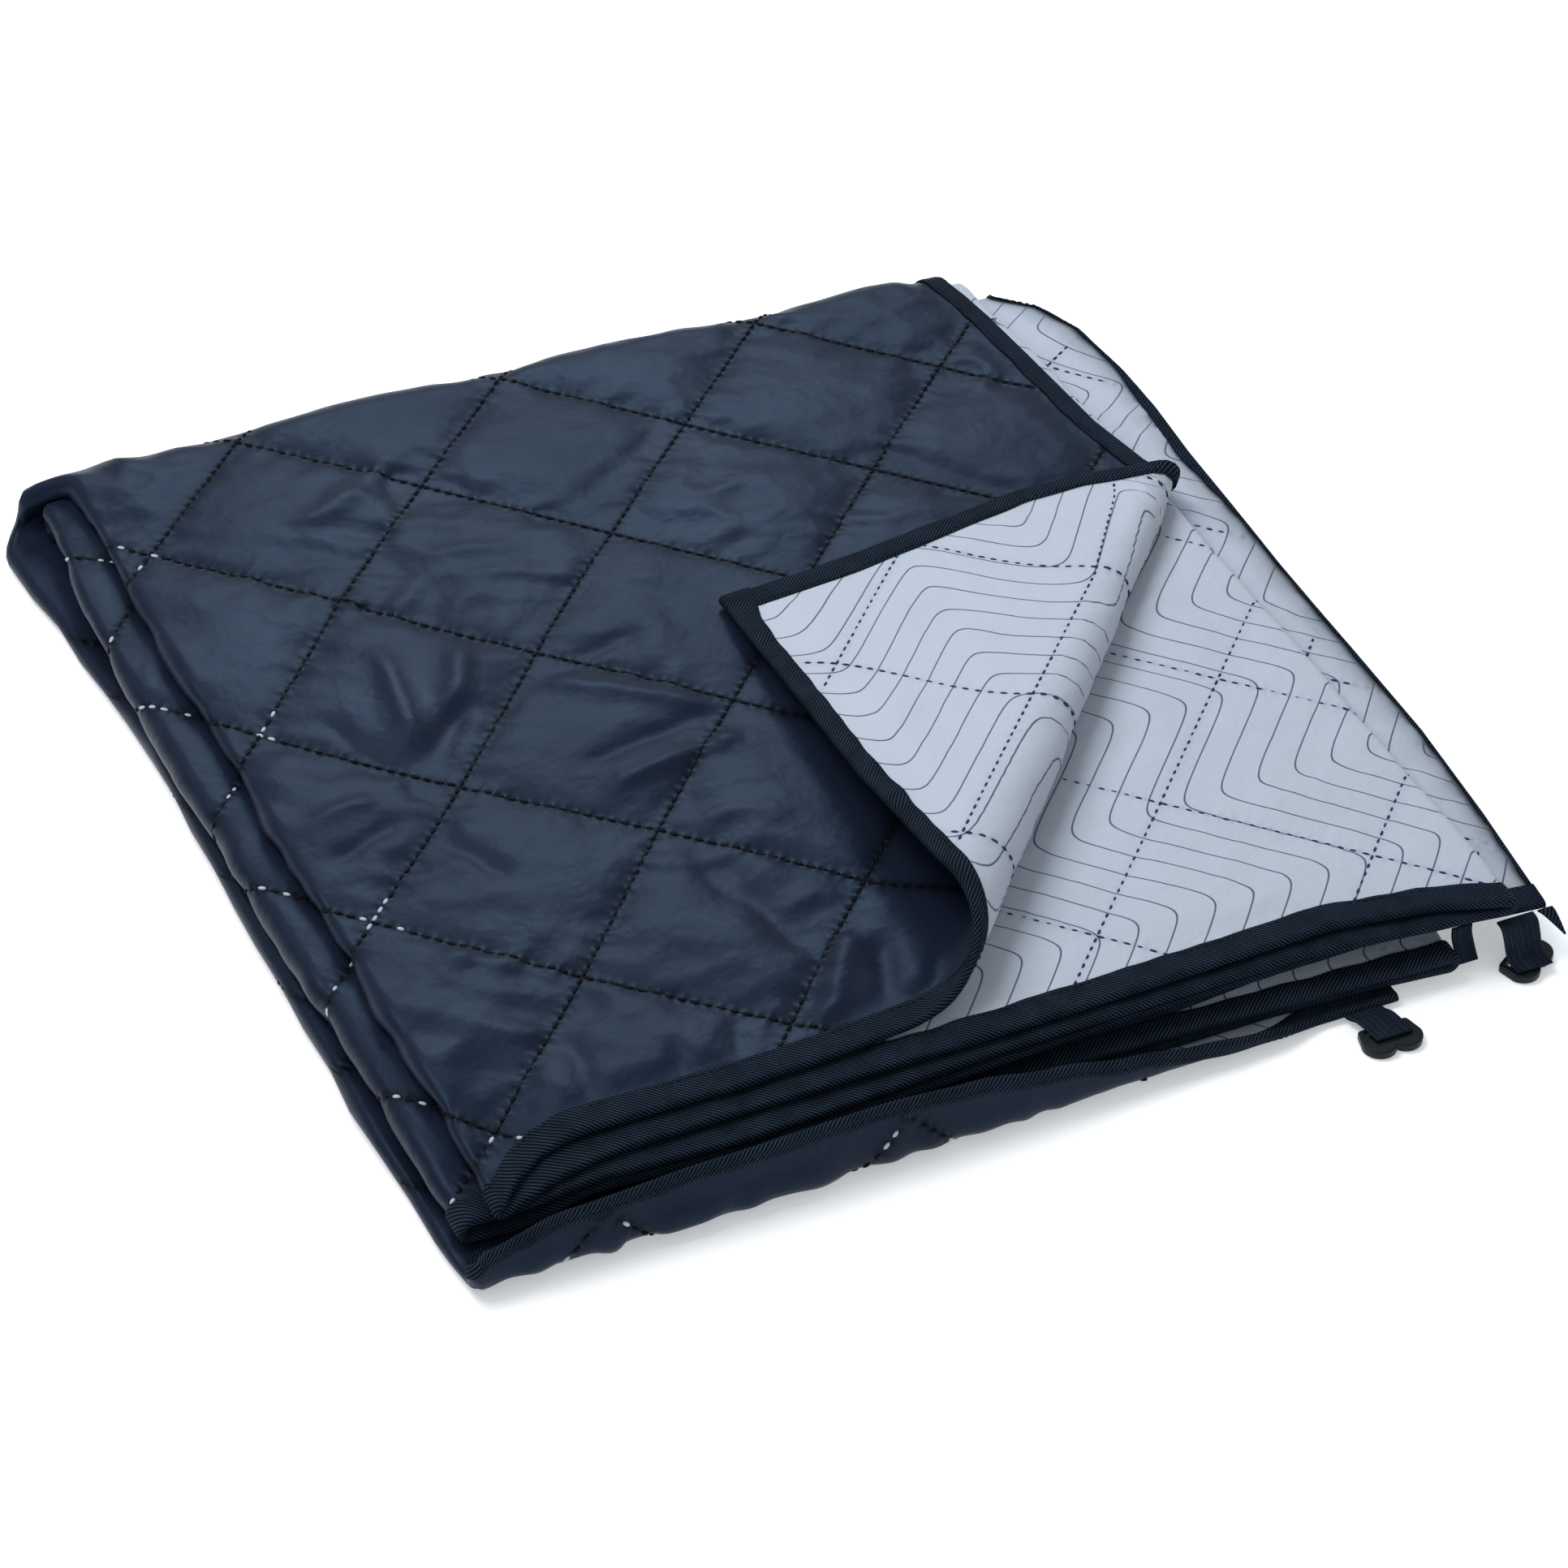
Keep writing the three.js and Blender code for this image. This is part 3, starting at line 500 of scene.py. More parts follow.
@dataclass
class Quilting:
    """Two sets of parallel seams, at 45 degrees to the cloth's edges, in millimetres."""

    spacing: float = 97.6
    crossing: tuple[float, float] = (-156.7, 259.5)
    stitch_pitch: float = 5.8
    valley_reach: float = 9.0
    dome_power: float = 0.7
    pucker_reach: float = 13.0
    pucker_length: float = 17.0
    pucker_drift: float = 31.0

    def counts(self, u: Array, v: Array) -> tuple[Array, Array]:
        """Counts seams along both sets: whole numbers are on a seam."""
        du, dv, run = u - self.crossing[0], v - self.crossing[1], self.spacing * math.sqrt(2)
        return (du - dv) / run, (du + dv) / run

    def valley(self, u: Array, v: Array) -> Array:
        """Gives how far the cloth is drawn in at its seams.

        Args:
            u: flat coordinate along the section.
            v: flat coordinate from front to back.

        Returns:
            1 on a seam, near 0 inside a diamond.
        """
        kept = np.ones_like(u)
        for count in self.counts(u, v):
            away = np.abs(count - np.round(count)) * self.spacing
            kept = kept * (1 - np.exp(-away / self.valley_reach))
        return 1 - kept

    def dome(self, u: Array, v: Array) -> Array:
        """Gives the swell of a diamond: 0 on the seams, 1 in its middle."""
        first, second = self.counts(u, v)
        return np.abs(np.sin(math.pi * first) * np.sin(math.pi * second)) ** self.dome_power

    def pucker(self, u: Array, v: Array) -> Array:
        """Gives the short creases that run out from the seams.

        Args:
            u: flat coordinate along the section.
            v: flat coordinate from front to back.

        Returns:
            Their height at each place, about -1 to 1.
        """
        first, second = self.counts(u, v)
        total = np.zeros_like(u)
        for count, along, seed in ((first, second, 5), (second, first, 6)):
            away = np.abs(count - np.round(count)) * self.spacing
            drift = count * self.pucker_drift
            swell = waves(along * self.spacing, drift, self.pucker_length, seed, 7)
            total = total + np.exp(-away / self.pucker_reach) * swell
        return total


@dataclass
class Crease:
    """A soft trough or ridge on the top of the bundle, in millimetres."""

    start: tuple[float, float]
    end: tuple[float, float]
    width: float
    height: float
    fade_start: float = 10.0
    fade: float = 18.0

    def rise(self, x: Array, y: Array) -> Array:
        """Gives the crease's height.

        Args:
            x: first coordinate on the flat layer.
            y: second coordinate on the flat layer.

        Returns:
            The height at each place.
        """
        dx, dy = self.end[0] - self.start[0], self.end[1] - self.start[1]
        length = math.hypot(dx, dy)
        along = ((x - self.start[0]) * dx + (y - self.start[1]) * dy) / length
        beside = ((x - self.start[0]) * dy - (y - self.start[1]) * dx) / length
        run = smooth((along + self.fade_start) / self.fade)
        run = run * smooth((length + self.fade_start - along) / self.fade)
        return self.height * run * np.exp(1 - np.sqrt(1 + 3 * (beside / self.width) ** 2))


TOP_CREASES = (
    Crease((-156, 77), (-163, 22), 7, 1.3),
    Crease((-135, 33), (-174, -12), 6, -1.7),
    Crease((-120, 66), (-140, 30), 8, 1.4),
    Crease((-226, -44), (-190, -27), 5, -1.0),
    Crease((-225, -16), (-198, -10), 5, 1.0),
    Crease((-180, -40), (-162, -82), 6, -1.1),
    Crease((-88, 36), (-40, 44), 6, -1.0),
    Crease((-90, 27), (-32, -16), 7, 1.0),
    Crease((-97, -32), (-30, -22), 5, -1.0),
    Crease((-93, -52), (-28, -42), 6, 1.2),
    Crease((-80, -118), (-60, -184), 9, -1.5),
    Crease((-139, -215), (-146, -240), 5, -1.2),
    Crease((-112, -219), (-120, -246), 5, -1.1),
    Crease((-31, -196), (-56, -244), 6, -1.5),
    Crease((-42, -186), (-80, -240), 6, 1.2),
    Crease((-195, 48), (-183, 5), 6, -0.8),
    Crease((-177, -190), (-184, -232), 6, -1.0),
    Crease((130, 128), (174, 72), 9, -1.0),
    Crease((-205, -120), (-160, -150), 8, 0.9),
    Crease((-20, 150), (40, 190), 9, -0.8),
    Crease((-150, 180), (-90, 215), 9, 0.8),
)


@dataclass(frozen=True)
class Swell:
    """An even, unrepeating swell: its height and middle wave length in millimetres, and its seed."""

    height: float
    length: float
    seed: int

    def at(self, u: Array, v: Array) -> Array:
        """Gives its height at flat coordinates."""
        return self.height * waves(u, v, self.length, self.seed)


@dataclass(frozen=True)
class Wrinkles:
    """Slanted wrinkles side by side that sway and are uneven, in millimetres."""

    height: float
    length: float
    slant: tuple[float, float]
    sway: Swell
    strength: float = 1.0
    uneven: Swell = Swell(0.0, 1.0, 0)
    strongest: float = 1.0

    def at(self, u: Array, v: Array) -> Array:
        """Gives the wrinkles' height.

        Args:
            u: flat coordinate along the section.
            v: flat coordinate from front to back.

        Returns:
            The height at each place.
        """
        turn = (self.slant[0] * u + self.slant[1] * v + self.sway.at(u, v)) * math.tau / self.length
        strength = np.clip(self.strength + self.uneven.at(u, v), 0.0, self.strongest)
        return self.height * strength * np.sin(turn)


@dataclass
class ClothFaces:
    """How far the two faces of the cloth lie from its middle, in millimetres."""

    plan: FoldPlan
    quilting: Quilting
    rim_half: float = 1.0
    rim: Span = (12.0, 26.0)
    # the shell, which wrinkles where nothing lies on it
    shell_recess: float = 2.0
    shell_least: float = 0.15
    shell_dome: float = 1.9
    shell_pucker: float = 0.7
    shell_crease: float = 2.3
    free_left: Span = (-14.0, -36.0)
    free_back: Span = (62.0, 84.0)
    free_across: Span = (2.05, 1.8)
    free_way: Span = (1.95, 1.825)
    calm: float = 0.3
    busy_start: float = 0.4
    busy: Swell = Swell(0.9, 150.0, 15)
    roll: Swell = Swell(0.4, 62.0, 11)
    ridge: Swell = Swell(0.75, 42.0, 12)
    nose: Swell = Swell(0.35, 24.0, 13)
    nose_across: float = 0.95
    nose_way: float = 2.6
    # slanted wrinkles along the left folds, where the cloth is drawn round them
    drag: Wrinkles = Wrinkles(1.1, 43.0, (0.8, 1.0), Swell(8.0, 90.0, 31), 0.45, Swell(0.6, 85.0, 32), 1.2)
    drag_u: float = -246.0
    drag_reach: float = 34.0
    # wrinkles of the lowest layer's bent up front margin
    margin: Wrinkles = Wrinkles(1.5, 31.0, (1.0, 0.7), Swell(7.0, 60.0, 33), 0.4, Swell(0.7, 70.0, 34), 1.3)
    margin_way: Span = (2.88, 2.88 + 1 / 30)
    # the lining, which is pressed flat where it is covered
    lining_recess: float = 0.8
    lining_dome: float = 1.1
    covered: float = 0.25
    bare_across: Span = (2.45, 2.575)
    bare_way: Span = (0.95, 0.825)
    lining_roll: Swell = Swell(0.6, 48.0, 21)
    lining_ridge: Swell = Swell(0.7, 34.0, 23)
    # ruffles of the lowest strip at the right
    ruffle: Wrinkles = Wrinkles(1.0, 29.0, (-0.6, 1.0), Swell(9.0, 80.0, 22))
    ruffle_height: float = 1.4
    ruffle_lift: float = 0.7
    strip_across: Span = (6.8, 6.8 + 1 / 12)
    strip_way: Span = (1.0, 1 - 1 / 6)
    strip_edge: Span = (5.0, 14.0)

    def shell(self, across: Array, way: Array) -> Array:
        """Gives the shell's distance from the cloth's middle, away from the cloth's edges.

        Args:
            across: places through the section.
            way: places on the way over the back.

        Returns:
            The distance at each place.
        """
        u, v = self.plan.flat(across, way)
        free = np.maximum(ease(u, self.free_left), ease(v, self.free_back))
        free = np.where(self.plan.turned_back(across, way), 0.0, free)
        free = free * ease(across, self.free_across) * ease(way, self.free_way)
        busy = self.calm + smooth(self.busy_start + self.busy.at(u, v))
        rise = busy * (self.roll.at(u, v) - np.abs(self.ridge.at(u, v)))
        rise += self.shell_dome * self.quilting.dome(u, v) + self.shell_pucker * self.quilting.pucker(u, v)
        rise += self.shell_crease * sum(crease.rise(u, v) for crease in TOP_CREASES)
        rise += np.exp(-(((u - self.drag_u) / self.drag_reach) ** 2)) * self.drag.at(u, v)
        at_nose = (across > self.nose_across) | (way > self.nose_way)
        noses = (1 - free) * at_nose * self.nose.at(u, v)
        margin = ease(way, self.margin_way) * (across < 1) * self.margin.at(u, v)
        drawn = self.shell_recess * self.quilting.valley(u, v)
        return np.maximum(self.plan.half - drawn + free * rise + noses + margin, self.shell_least)

    def lining(self, across: Array, way: Array) -> Array:
        """Gives the lining's distance from the cloth's middle, away from the cloth's edges.

        Args:
            across: places through the section.
            way: places on the way over the back.

        Returns:
            The distance at each place, positive.
        """
        u, v = self.plan.flat(across, way)
        valley = self.quilting.valley(u, v)
        bare = ease(across, self.bare_across) * (across < 3) * ease(way, self.bare_way)
        lifted = np.where(self.plan.turned_back(across, way), 1.0, blend(self.covered, 1.0, bare))
        wrinkles = (self.lining_roll.at(u, v) - np.abs(self.lining_ridge.at(u, v))) * (1 - valley) ** 2
        swell = self.lining_dome * self.quilting.dome(u, v) + wrinkles
        return self.plan.half - self.lining_recess * valley + lifted * swell

    def offset(self, face: Face, across: Array, way: Array) -> Array:
        """Gives the distance of a face from the cloth's middle.

        Args:
            face: which face.
            across: places through the section.
            way: places on the way over the back.

        Returns:
            The distance at each place, positive on either face.
        """
        edge = self.plan.to_edge(across, way)
        full = self.shell(across, way) if face is Face.SHELL else self.lining(across, way)
        thick = blend(self.rim_half, full, ease(edge, self.rim))
        if face is Face.SHELL:
            return thick
        u, v = self.plan.flat(across, way)
        strip = ease(across, self.strip_across) * ease(way, self.strip_way) * ease(edge, self.strip_edge)
        raised = strip * (self.ruffle.at(u, v) + self.ruffle_lift) * (1 - self.quilting.valley(u, v)) ** 2
        return thick + self.ruffle_height * raised


class Bench:
    """Lays out the nodes of one tree."""

    def __init__(self, tree: Tree) -> None:
        """Empties the tree."""
        self.tree = tree
        tree.nodes.clear()

    def feed(self, socket: Socket, value: object) -> None:
        """Links a socket to another, or sets its plain value.

        Args:
            socket: the socket to feed.
            value: another socket, or a value; a colour has three numbers.
        """
        if isinstance(value, Socket):
            self.tree.links.new(value, socket)
        else:
            socket.default_value = (*value, 1.0) if socket.type == "RGBA" else value

    def fill(self, node: bpy.types.Node, values: dict[str, object]) -> bpy.types.Node:
        """Feeds a node's inputs by name.

        Args:
            node: the node.
            values: sockets or plain values by input name.

        Returns:
            The node.
        """
        for name, value in values.items():
            self.feed(next(s for s in node.inputs if s.name == name and s.enabled), value)
        return node

    def node(self, kind: str, values: dict[str, object] | None = None, **settings: object) -> bpy.types.Node:
        """Adds a node.

        Args:
            kind: its type.
            values: sockets or plain values for its inputs, by name.
            settings: its settings by name.

        Returns:
            The node.
        """
        made = self.tree.nodes.new(kind)
        for name, value in settings.items():
            setattr(made, name, value)
        return self.fill(made, values or {})

    def math(self, operation: str, *values: object) -> Socket:
        """Adds a Math node.

        Args:
            operation: what it does.
            values: sockets or numbers for its inputs, in order.

        Returns:
            Its output.
        """
        made = self.node("ShaderNodeMath", operation=operation)
        for socket, value in zip(made.inputs, values):
            self.feed(socket, value)
        return made.outputs[0]

    def total(self, base: object, *terms: tuple[Socket, float]) -> Socket:
        """Adds weighted terms to a base.

        Args:
            base: a socket or a number.
            terms: sockets with their weights.

        Returns:
            The sum.
        """
        for value, weight in terms:
            base = self.math("MULTIPLY_ADD", value, weight, base)
        return base

    def fade(self, value: Socket, reach: float) -> Socket:
        """Falls from 1 towards 0 over a reach."""
        return self.math("EXPONENT", self.math("MULTIPLY", value, -1 / reach))

    def split(self, vector: Socket) -> tuple[Socket, Socket]:
        """Takes X and Y out of a vector."""
        parts = self.node("ShaderNodeSeparateXYZ", {"Vector": vector})
        return parts.outputs["X"], parts.outputs["Y"]

    def ramp(self, value: Socket, low: float, high: float) -> Socket:
        """Eases a value to 0 below low and to 1 above high."""
        limits = {"Value": value, "From Min": low, "From Max": high}
        return self.node("ShaderNodeMapRange", limits, interpolation_type="SMOOTHSTEP").outputs["Result"]

    def mix(self, share: object, first: object, second: object) -> Socket:
        """Mixes two colours.

        Args:
            share: how much of the second there is.
            first: a socket or a colour.
            second: another.

        Returns:
            The mixed colour.
        """
        made = self.node("ShaderNodeMix", data_type="RGBA")
        colours = [socket for socket in made.inputs if socket.type == "RGBA"]
        for socket, value in zip((made.inputs[0], *colours), (share, first, second)):
            self.feed(socket, value)
        return next(socket for socket in made.outputs if socket.type == "RGBA")

    def noise(self, vector: Socket, scale: float, detail: float = 3.0) -> Socket:
        """Adds a flat noise over a map, as a value about 0.5."""
        values = {"Vector": vector, "Scale": scale, "Detail": detail}
        return self.node("ShaderNodeTexNoise", values, noise_dimensions="2D").outputs[0]

    def grain(self, scale: float) -> Socket:
        """Adds a noise over the piece's own space, as a value about 0.5."""
        spot = self.node("ShaderNodeTexCoord").outputs["Object"]
        return self.node("ShaderNodeTexNoise", {"Vector": spot, "Scale": scale}).outputs[0]

    def flat_map(self) -> Socket:
        """Reads the piece's flat map."""
        return self.node("ShaderNodeUVMap", uv_map=FLAT_MAP).outputs[0]

    def group(self, tree: Tree, **values: object) -> Sockets:
        """Places a group and gives its outputs."""
        return self.node("ShaderNodeGroup", values, node_tree=tree).outputs

    def chance(self, values: dict[str, object]) -> Socket:
        """Draws a random number for each place, in geometry."""
        made = self.node("FunctionNodeRandomValue", values, data_type="FLOAT")
        return next(socket for socket in made.outputs if socket.enabled)

    def named_value(self, name: str, kind: str) -> Socket:
        """Reads a value that the geometry carries."""
        made = self.node("GeometryNodeInputNamedAttribute", {"Name": name}, data_type=kind)
        return made.outputs["Attribute"]

    def bump(self, height: Socket) -> Socket:
        """Turns a height in millimetres into a normal."""
        values = {"Strength": 1.0, "Distance": MM, "Height": height}
        return self.node("ShaderNodeBump", values).outputs["Normal"]


class ShaderGroups:
    """The node groups that several finishes share. Maps are in metres, heights in millimetres."""

    cross_rate: float = 1.6
    cross_height: float = 0.35

    def __init__(self, quilting: Quilting) -> None:
        """Builds each group once.

        Args:
            quilting: the cloth's seams.
        """
        self.quilting = quilting
        relief = ["Height", "Shade"]
        self.seams = self.build("quilt_seams", [], ["Away", "Along"], self.fill_seams)
        self.weave = self.build("plain_weave", ["Thread"], relief, self.fill_weave)
        self.ribs = self.build("slanted_ribs", ["Slant", "Rib"], relief, self.fill_ribs)

    def build(self, name: str, inputs: list[str], outputs: list[str], fill: Callable) -> Tree:
        """Makes a group with named sockets.

        Args:
            name: the group's name.
            inputs: its plain values in, besides the map.
            outputs: its plain values out.
            fill: lays out its nodes.

        Returns:
            The group.
        """
        tree = bpy.data.node_groups.new(name, "ShaderNodeTree")
        tree.interface.new_socket("Map", in_out="INPUT", socket_type="NodeSocketVector")
        for titles, side in ((inputs, "INPUT"), (outputs, "OUTPUT")):
            for title in titles:
                tree.interface.new_socket(title, in_out=side, socket_type="NodeSocketFloat")
        bench = Bench(tree)
        entry, out = bench.node("NodeGroupInput"), bench.node("NodeGroupOutput")
        bench.fill(out, fill(bench, entry.outputs))
        return tree

    def fill_seams(self, bench: Bench, given: Sockets) -> dict[str, Socket]:
        """Measures the distance from the nearest quilting seam and the place along it, in millimetres.

        Args:
            bench: the group's bench.
            given: the group's inputs.

        Returns:
            The group's outputs.
        """
        spacing = self.quilting.spacing
        u, v = (
            bench.math("SUBTRACT", bench.math("MULTIPLY", axis, 1 / MM), start)
            for axis, start in zip(bench.split(given["Map"]), self.quilting.crossing)
        )
        counts = [
            bench.math("DIVIDE", bench.math(operation, u, v), spacing * math.sqrt(2))
            for operation in ("SUBTRACT", "ADD")
        ]
        gaps = [bench.math("SUBTRACT", count, bench.math("ROUND", count)) for count in counts]
        away = [bench.math("MULTIPLY", bench.math("ABSOLUTE", gap), spacing) for gap in gaps]
        nearer = bench.math("LESS_THAN", *away)
        along = bench.math("MULTIPLY_ADD", nearer, bench.math("SUBTRACT", counts[1], counts[0]), counts[0])
        return {"Away": bench.math("MINIMUM", *away), "Along": bench.math("MULTIPLY", along, spacing)}

    def fill_weave(self, bench: Bench, given: Sockets) -> dict[str, Socket]:
        """Lays threads over and under each other.

        Args:
            bench: the group's bench.
            given: the group's inputs.

        Returns:
            The group's outputs.
        """
        rate = bench.math("DIVIDE", math.pi / MM, given["Thread"])
        turns = [bench.math("MULTIPLY", axis, rate) for axis in bench.split(given["Map"])]
        crossed = bench.math("MULTIPLY", *(bench.math("SINE", turn) for turn in turns))
        return {"Height": crossed, "Shade": bench.total(0.5, (crossed, 0.5))}

    def fill_ribs(self, bench: Bench, given: Sockets) -> dict[str, Socket]:
        """Lays slanted ribs side by side, as in a twill tape.

        Args:
            bench: the group's bench.
            given: the group's inputs.

        Returns:
            The group's outputs.
        """
        x, y = bench.split(given["Map"])
        rate = bench.math("DIVIDE", math.tau / MM, given["Rib"])
        lean = bench.math("MULTIPLY_ADD", y, given["Slant"], x)
        wave = bench.math("SINE", bench.math("MULTIPLY", lean, rate))
        cross = bench.math("SINE", bench.math("MULTIPLY", y, bench.math("MULTIPLY", rate, self.cross_rate)))
        height = bench.total(wave, (cross, self.cross_height))
        # Shade rises on the ribs' crests; the tape's painted highlight follows it
        return {"Height": height, "Shade": bench.total(0.5, (wave, 0.5))}


def start_material(name: str) -> tuple[Material, Bench, bpy.types.Node]:
    """Makes a material with a Principled BSDF.

    Args:
        name: the material's name.

    Returns:
        The material, its bench and the shader node.
    """
    material = bpy.data.materials.new(name)
    material.use_nodes = True
    bench = Bench(material.node_tree)
    shader = bench.node("ShaderNodeBsdfPrincipled")
    bench.node("ShaderNodeOutputMaterial", {"Surface": shader.outputs["BSDF"]})
    return material, bench, shader


class ClothMaps:
    """What the quilted cloth's two finishes read from its flat map."""

    def __init__(self, bench: Bench, groups: ShaderGroups, thread: float) -> None:
        """Places the shared groups.

        Args:
            bench: the material's bench.
            groups: the shared groups.
            thread: width of the weave's threads, in millimetres.
        """
        self.bench, self.pitch = bench, groups.quilting.stitch_pitch
        self.flat = bench.flat_map()
        seams = bench.group(groups.seams, Map=self.flat)
        self.away, self.along = seams["Away"], seams["Along"]
        self.weave = bench.group(groups.weave, Map=self.flat, Thread=thread)

    def beads(self, reach: float) -> Socket:
        """Gives the small swells between the stitches, by -1 to 1, up to a reach from the seam."""
        swell = self.bench.math("COSINE", self.bench.math("MULTIPLY", self.along, math.tau / self.pitch))
        return self.bench.math("MULTIPLY", swell, self.bench.fade(self.away, reach))


@dataclass(frozen=True)
class ShellCloth:
    """Navy taffeta with a soft gloss, drawn in along its seams, with painted shade along the seams and
    random darker patches.
    """

    name: str = "navy_taffeta"
    base: Colour = (0.0082, 0.0122, 0.0265)
    # shade: the dark colour of the painted shade along the seams, also mixed in by random patches of darker
    # tone
    shade: Colour = (0.0022, 0.0028, 0.0054)
    roughness: float = 0.38
    thread: float = 0.5
    seam_reach: float = 3.0
    bead_reach: float = 1.6
    bead_height: float = -0.35
    weave_height: float = 0.012
    weave_roughness: float = 0.03
    crinkle_scale: float = 42.0
    crinkle_height: float = 1.1
    fine_scale: float = 210.0
    fine_height: float = 0.12
    patch_scale: float = 14.0
    patch_shade: float = 0.3
    patch_roughness: float = 0.14
    detail: float = 2.0
    specular: float = 0.15
    specular_tint: Colour = (0.4, 0.66, 1.0)
    sheen: float = 0.03
    sheen_roughness: float = 0.45
    sheen_tint: Colour = (0.62, 0.72, 0.95)

    def material(self, groups: ShaderGroups) -> Material:
        """Builds the material.

        Args:
            groups: the shared node groups.

        Returns:
            The material.
        """
        material, bench, shader = start_material(self.name)
        maps = ClothMaps(bench, groups, self.thread)
        patches = bench.noise(maps.flat, self.patch_scale, self.detail)
        least = -self.patch_shade / 2
        # painted shade in the grooves along the seams, added to the random patches to darken the base colour
        near = bench.fade(maps.away, self.seam_reach)
        dark = bench.total(least, (patches, self.patch_shade), (near, 1.0))
        rough = bench.total(
            self.roughness - self.patch_roughness / 2,
            (patches, self.patch_roughness), (maps.weave["Shade"], self.weave_roughness),
        )
        height = bench.total(
            0.0, (bench.noise(maps.flat, self.crinkle_scale), self.crinkle_height),
            (bench.noise(maps.flat, self.fine_scale, self.detail), self.fine_height),
            (maps.beads(self.bead_reach), self.bead_height), (maps.weave["Height"], self.weave_height),
        )
        bench.fill(shader, {
            "Base Color": bench.mix(bench.ramp(dark, least, 1.0), self.base, self.shade),
            "Roughness": rough, "Normal": bench.bump(height),
            "Specular IOR Level": self.specular, "Specular Tint": self.specular_tint,
            "Sheen Weight": self.sheen, "Sheen Roughness": self.sheen_roughness,
            "Sheen Tint": self.sheen_tint,
        })
        return material


@dataclass(frozen=True)
class LiningCloth:
    """Pale grey lining with a plain print of thin rounded chevron lines, painted shade along its seams and
    on the low strip beside the right fold.
    """

    name: str = "pale_lining"
    base: Colour = (0.455, 0.49, 0.56)
    # deep: the darker colour of the painted shade along the seams, also mixed in by random patches of darker
    # tone
    deep: Colour = (0.39, 0.42, 0.49)
    roughness: float = 0.62
    thread: float = 0.6
    seam_reach: float = 2.2
    seam_shade: float = 0.5
    shade_span: Span = (0.1, 1.1)
    bead_reach: float = 2.0
    bead_height: float = -0.22
    weave_height: float = 0.02
    weave_roughness: float = 0.08
    crinkle_scale: float = 48.0
    crinkle_detail: float = 4.0
    crinkle_height: float = 1.3
    patch_scale: float = 11.0
    patch_detail: float = 2.0
    patch_shade: float = 0.5
    sheen: float = 0.1
    sheen_roughness: float = 0.5
    # painted shade on the low strip at the right, beside the right fold, where little light comes in
    corner: Colour = (0.07, 0.085, 0.12)
    corner_reach: float = 18.0
    corner_light: Span = (0.42, 0.95)
    corner_samples: int = 8
    strip: Span = (-1420.0, -1400.0)
    # the print
    print_line: Colour = (0.06, 0.075, 0.125)
    line_spacing: float = 19.0
    line_width: float = 0.95
    line_edge: Span = (0.6, 1.5)
    chevron_length: float = 128.0
    chevron_height: float = 27.0
    chevron_sharpness: float = 0.96
    chevron_peak: float = 1.29

    def corner_shade_mask(self, bench: Bench, flat: Socket) -> Socket:
        """Masks the painted shade on the low strip at the right where little light comes in, beside the
        right fold.

        Args:
            bench: the material's bench.
            flat: the flat map.

        Returns:
            The mask.
        """
        reach = {"Distance": self.corner_reach * MM}
        sky = bench.node("ShaderNodeAmbientOcclusion", reach, samples=self.corner_samples)
        lit = bench.ramp(sky.outputs["AO"], *self.corner_light)
        above = bench.ramp(bench.split(flat)[0], self.strip[0] * MM, self.strip[1] * MM)
        return bench.math("MULTIPLY", *(bench.math("SUBTRACT", 1.0, share) for share in (lit, above)))

    def printed(self, bench: Bench, flat: Socket) -> Socket:
        """Draws the print: parallel lines that turn to and fro with rounded corners.

        Args:
            bench: the material's bench.
            flat: the flat map.

        Returns:
            The lines' mask.
        """
        x, y = bench.split(flat)
        turn = bench.math("SINE", bench.math("MULTIPLY", y, math.tau / (self.chevron_length * MM)))
        zigzag = bench.math("ARCSINE", bench.math("MULTIPLY", turn, self.chevron_sharpness))
        swing = self.chevron_height / self.line_spacing / self.chevron_peak
        place = bench.total(0.0, (zigzag, swing), (x, 1 / (self.line_spacing * MM)))
        away = bench.math("ABSOLUTE", bench.math("SUBTRACT", place, bench.math("ROUND", place)))
        edge = self.line_width / self.line_spacing / 2
        clear = bench.ramp(away, edge * self.line_edge[0], edge * self.line_edge[1])
        return bench.math("SUBTRACT", 1.0, clear)

    def material(self, groups: ShaderGroups) -> Material:
        """Builds the material.

        Args:
            groups: the shared node groups.

        Returns:
            The material.
        """
        material, bench, shader = start_material(self.name)
        maps = ClothMaps(bench, groups, self.thread)
        # painted shade along the seams, added to the random patches
        near = bench.fade(maps.away, self.seam_reach)
        patches = bench.noise(maps.flat, self.patch_scale, self.patch_detail)
        dark = bench.total(0.0, (patches, self.patch_shade), (near, self.seam_shade))
        cloth = bench.mix(bench.ramp(dark, *self.shade_span), self.base, self.deep)
        # painted shade: the strip beside the right fold is darkened towards the corner colour by ambient
        # occlusion
        cloth = bench.mix(self.corner_shade_mask(bench, maps.flat), cloth, self.corner)
        height = bench.total(
            0.0, (bench.noise(maps.flat, self.crinkle_scale, self.crinkle_detail), self.crinkle_height),
            (maps.beads(self.bead_reach), self.bead_height), (maps.weave["Height"], self.weave_height),
        )
        even = self.roughness - self.weave_roughness / 2
        bench.fill(shader, {
            "Base Color": bench.mix(self.printed(bench, maps.flat), cloth, self.print_line),
            "Roughness": bench.total(even, (maps.weave["Shade"], self.weave_roughness)),
            "Normal": bench.bump(height), "Sheen Weight": self.sheen,
            "Sheen Roughness": self.sheen_roughness,
        })
        return material


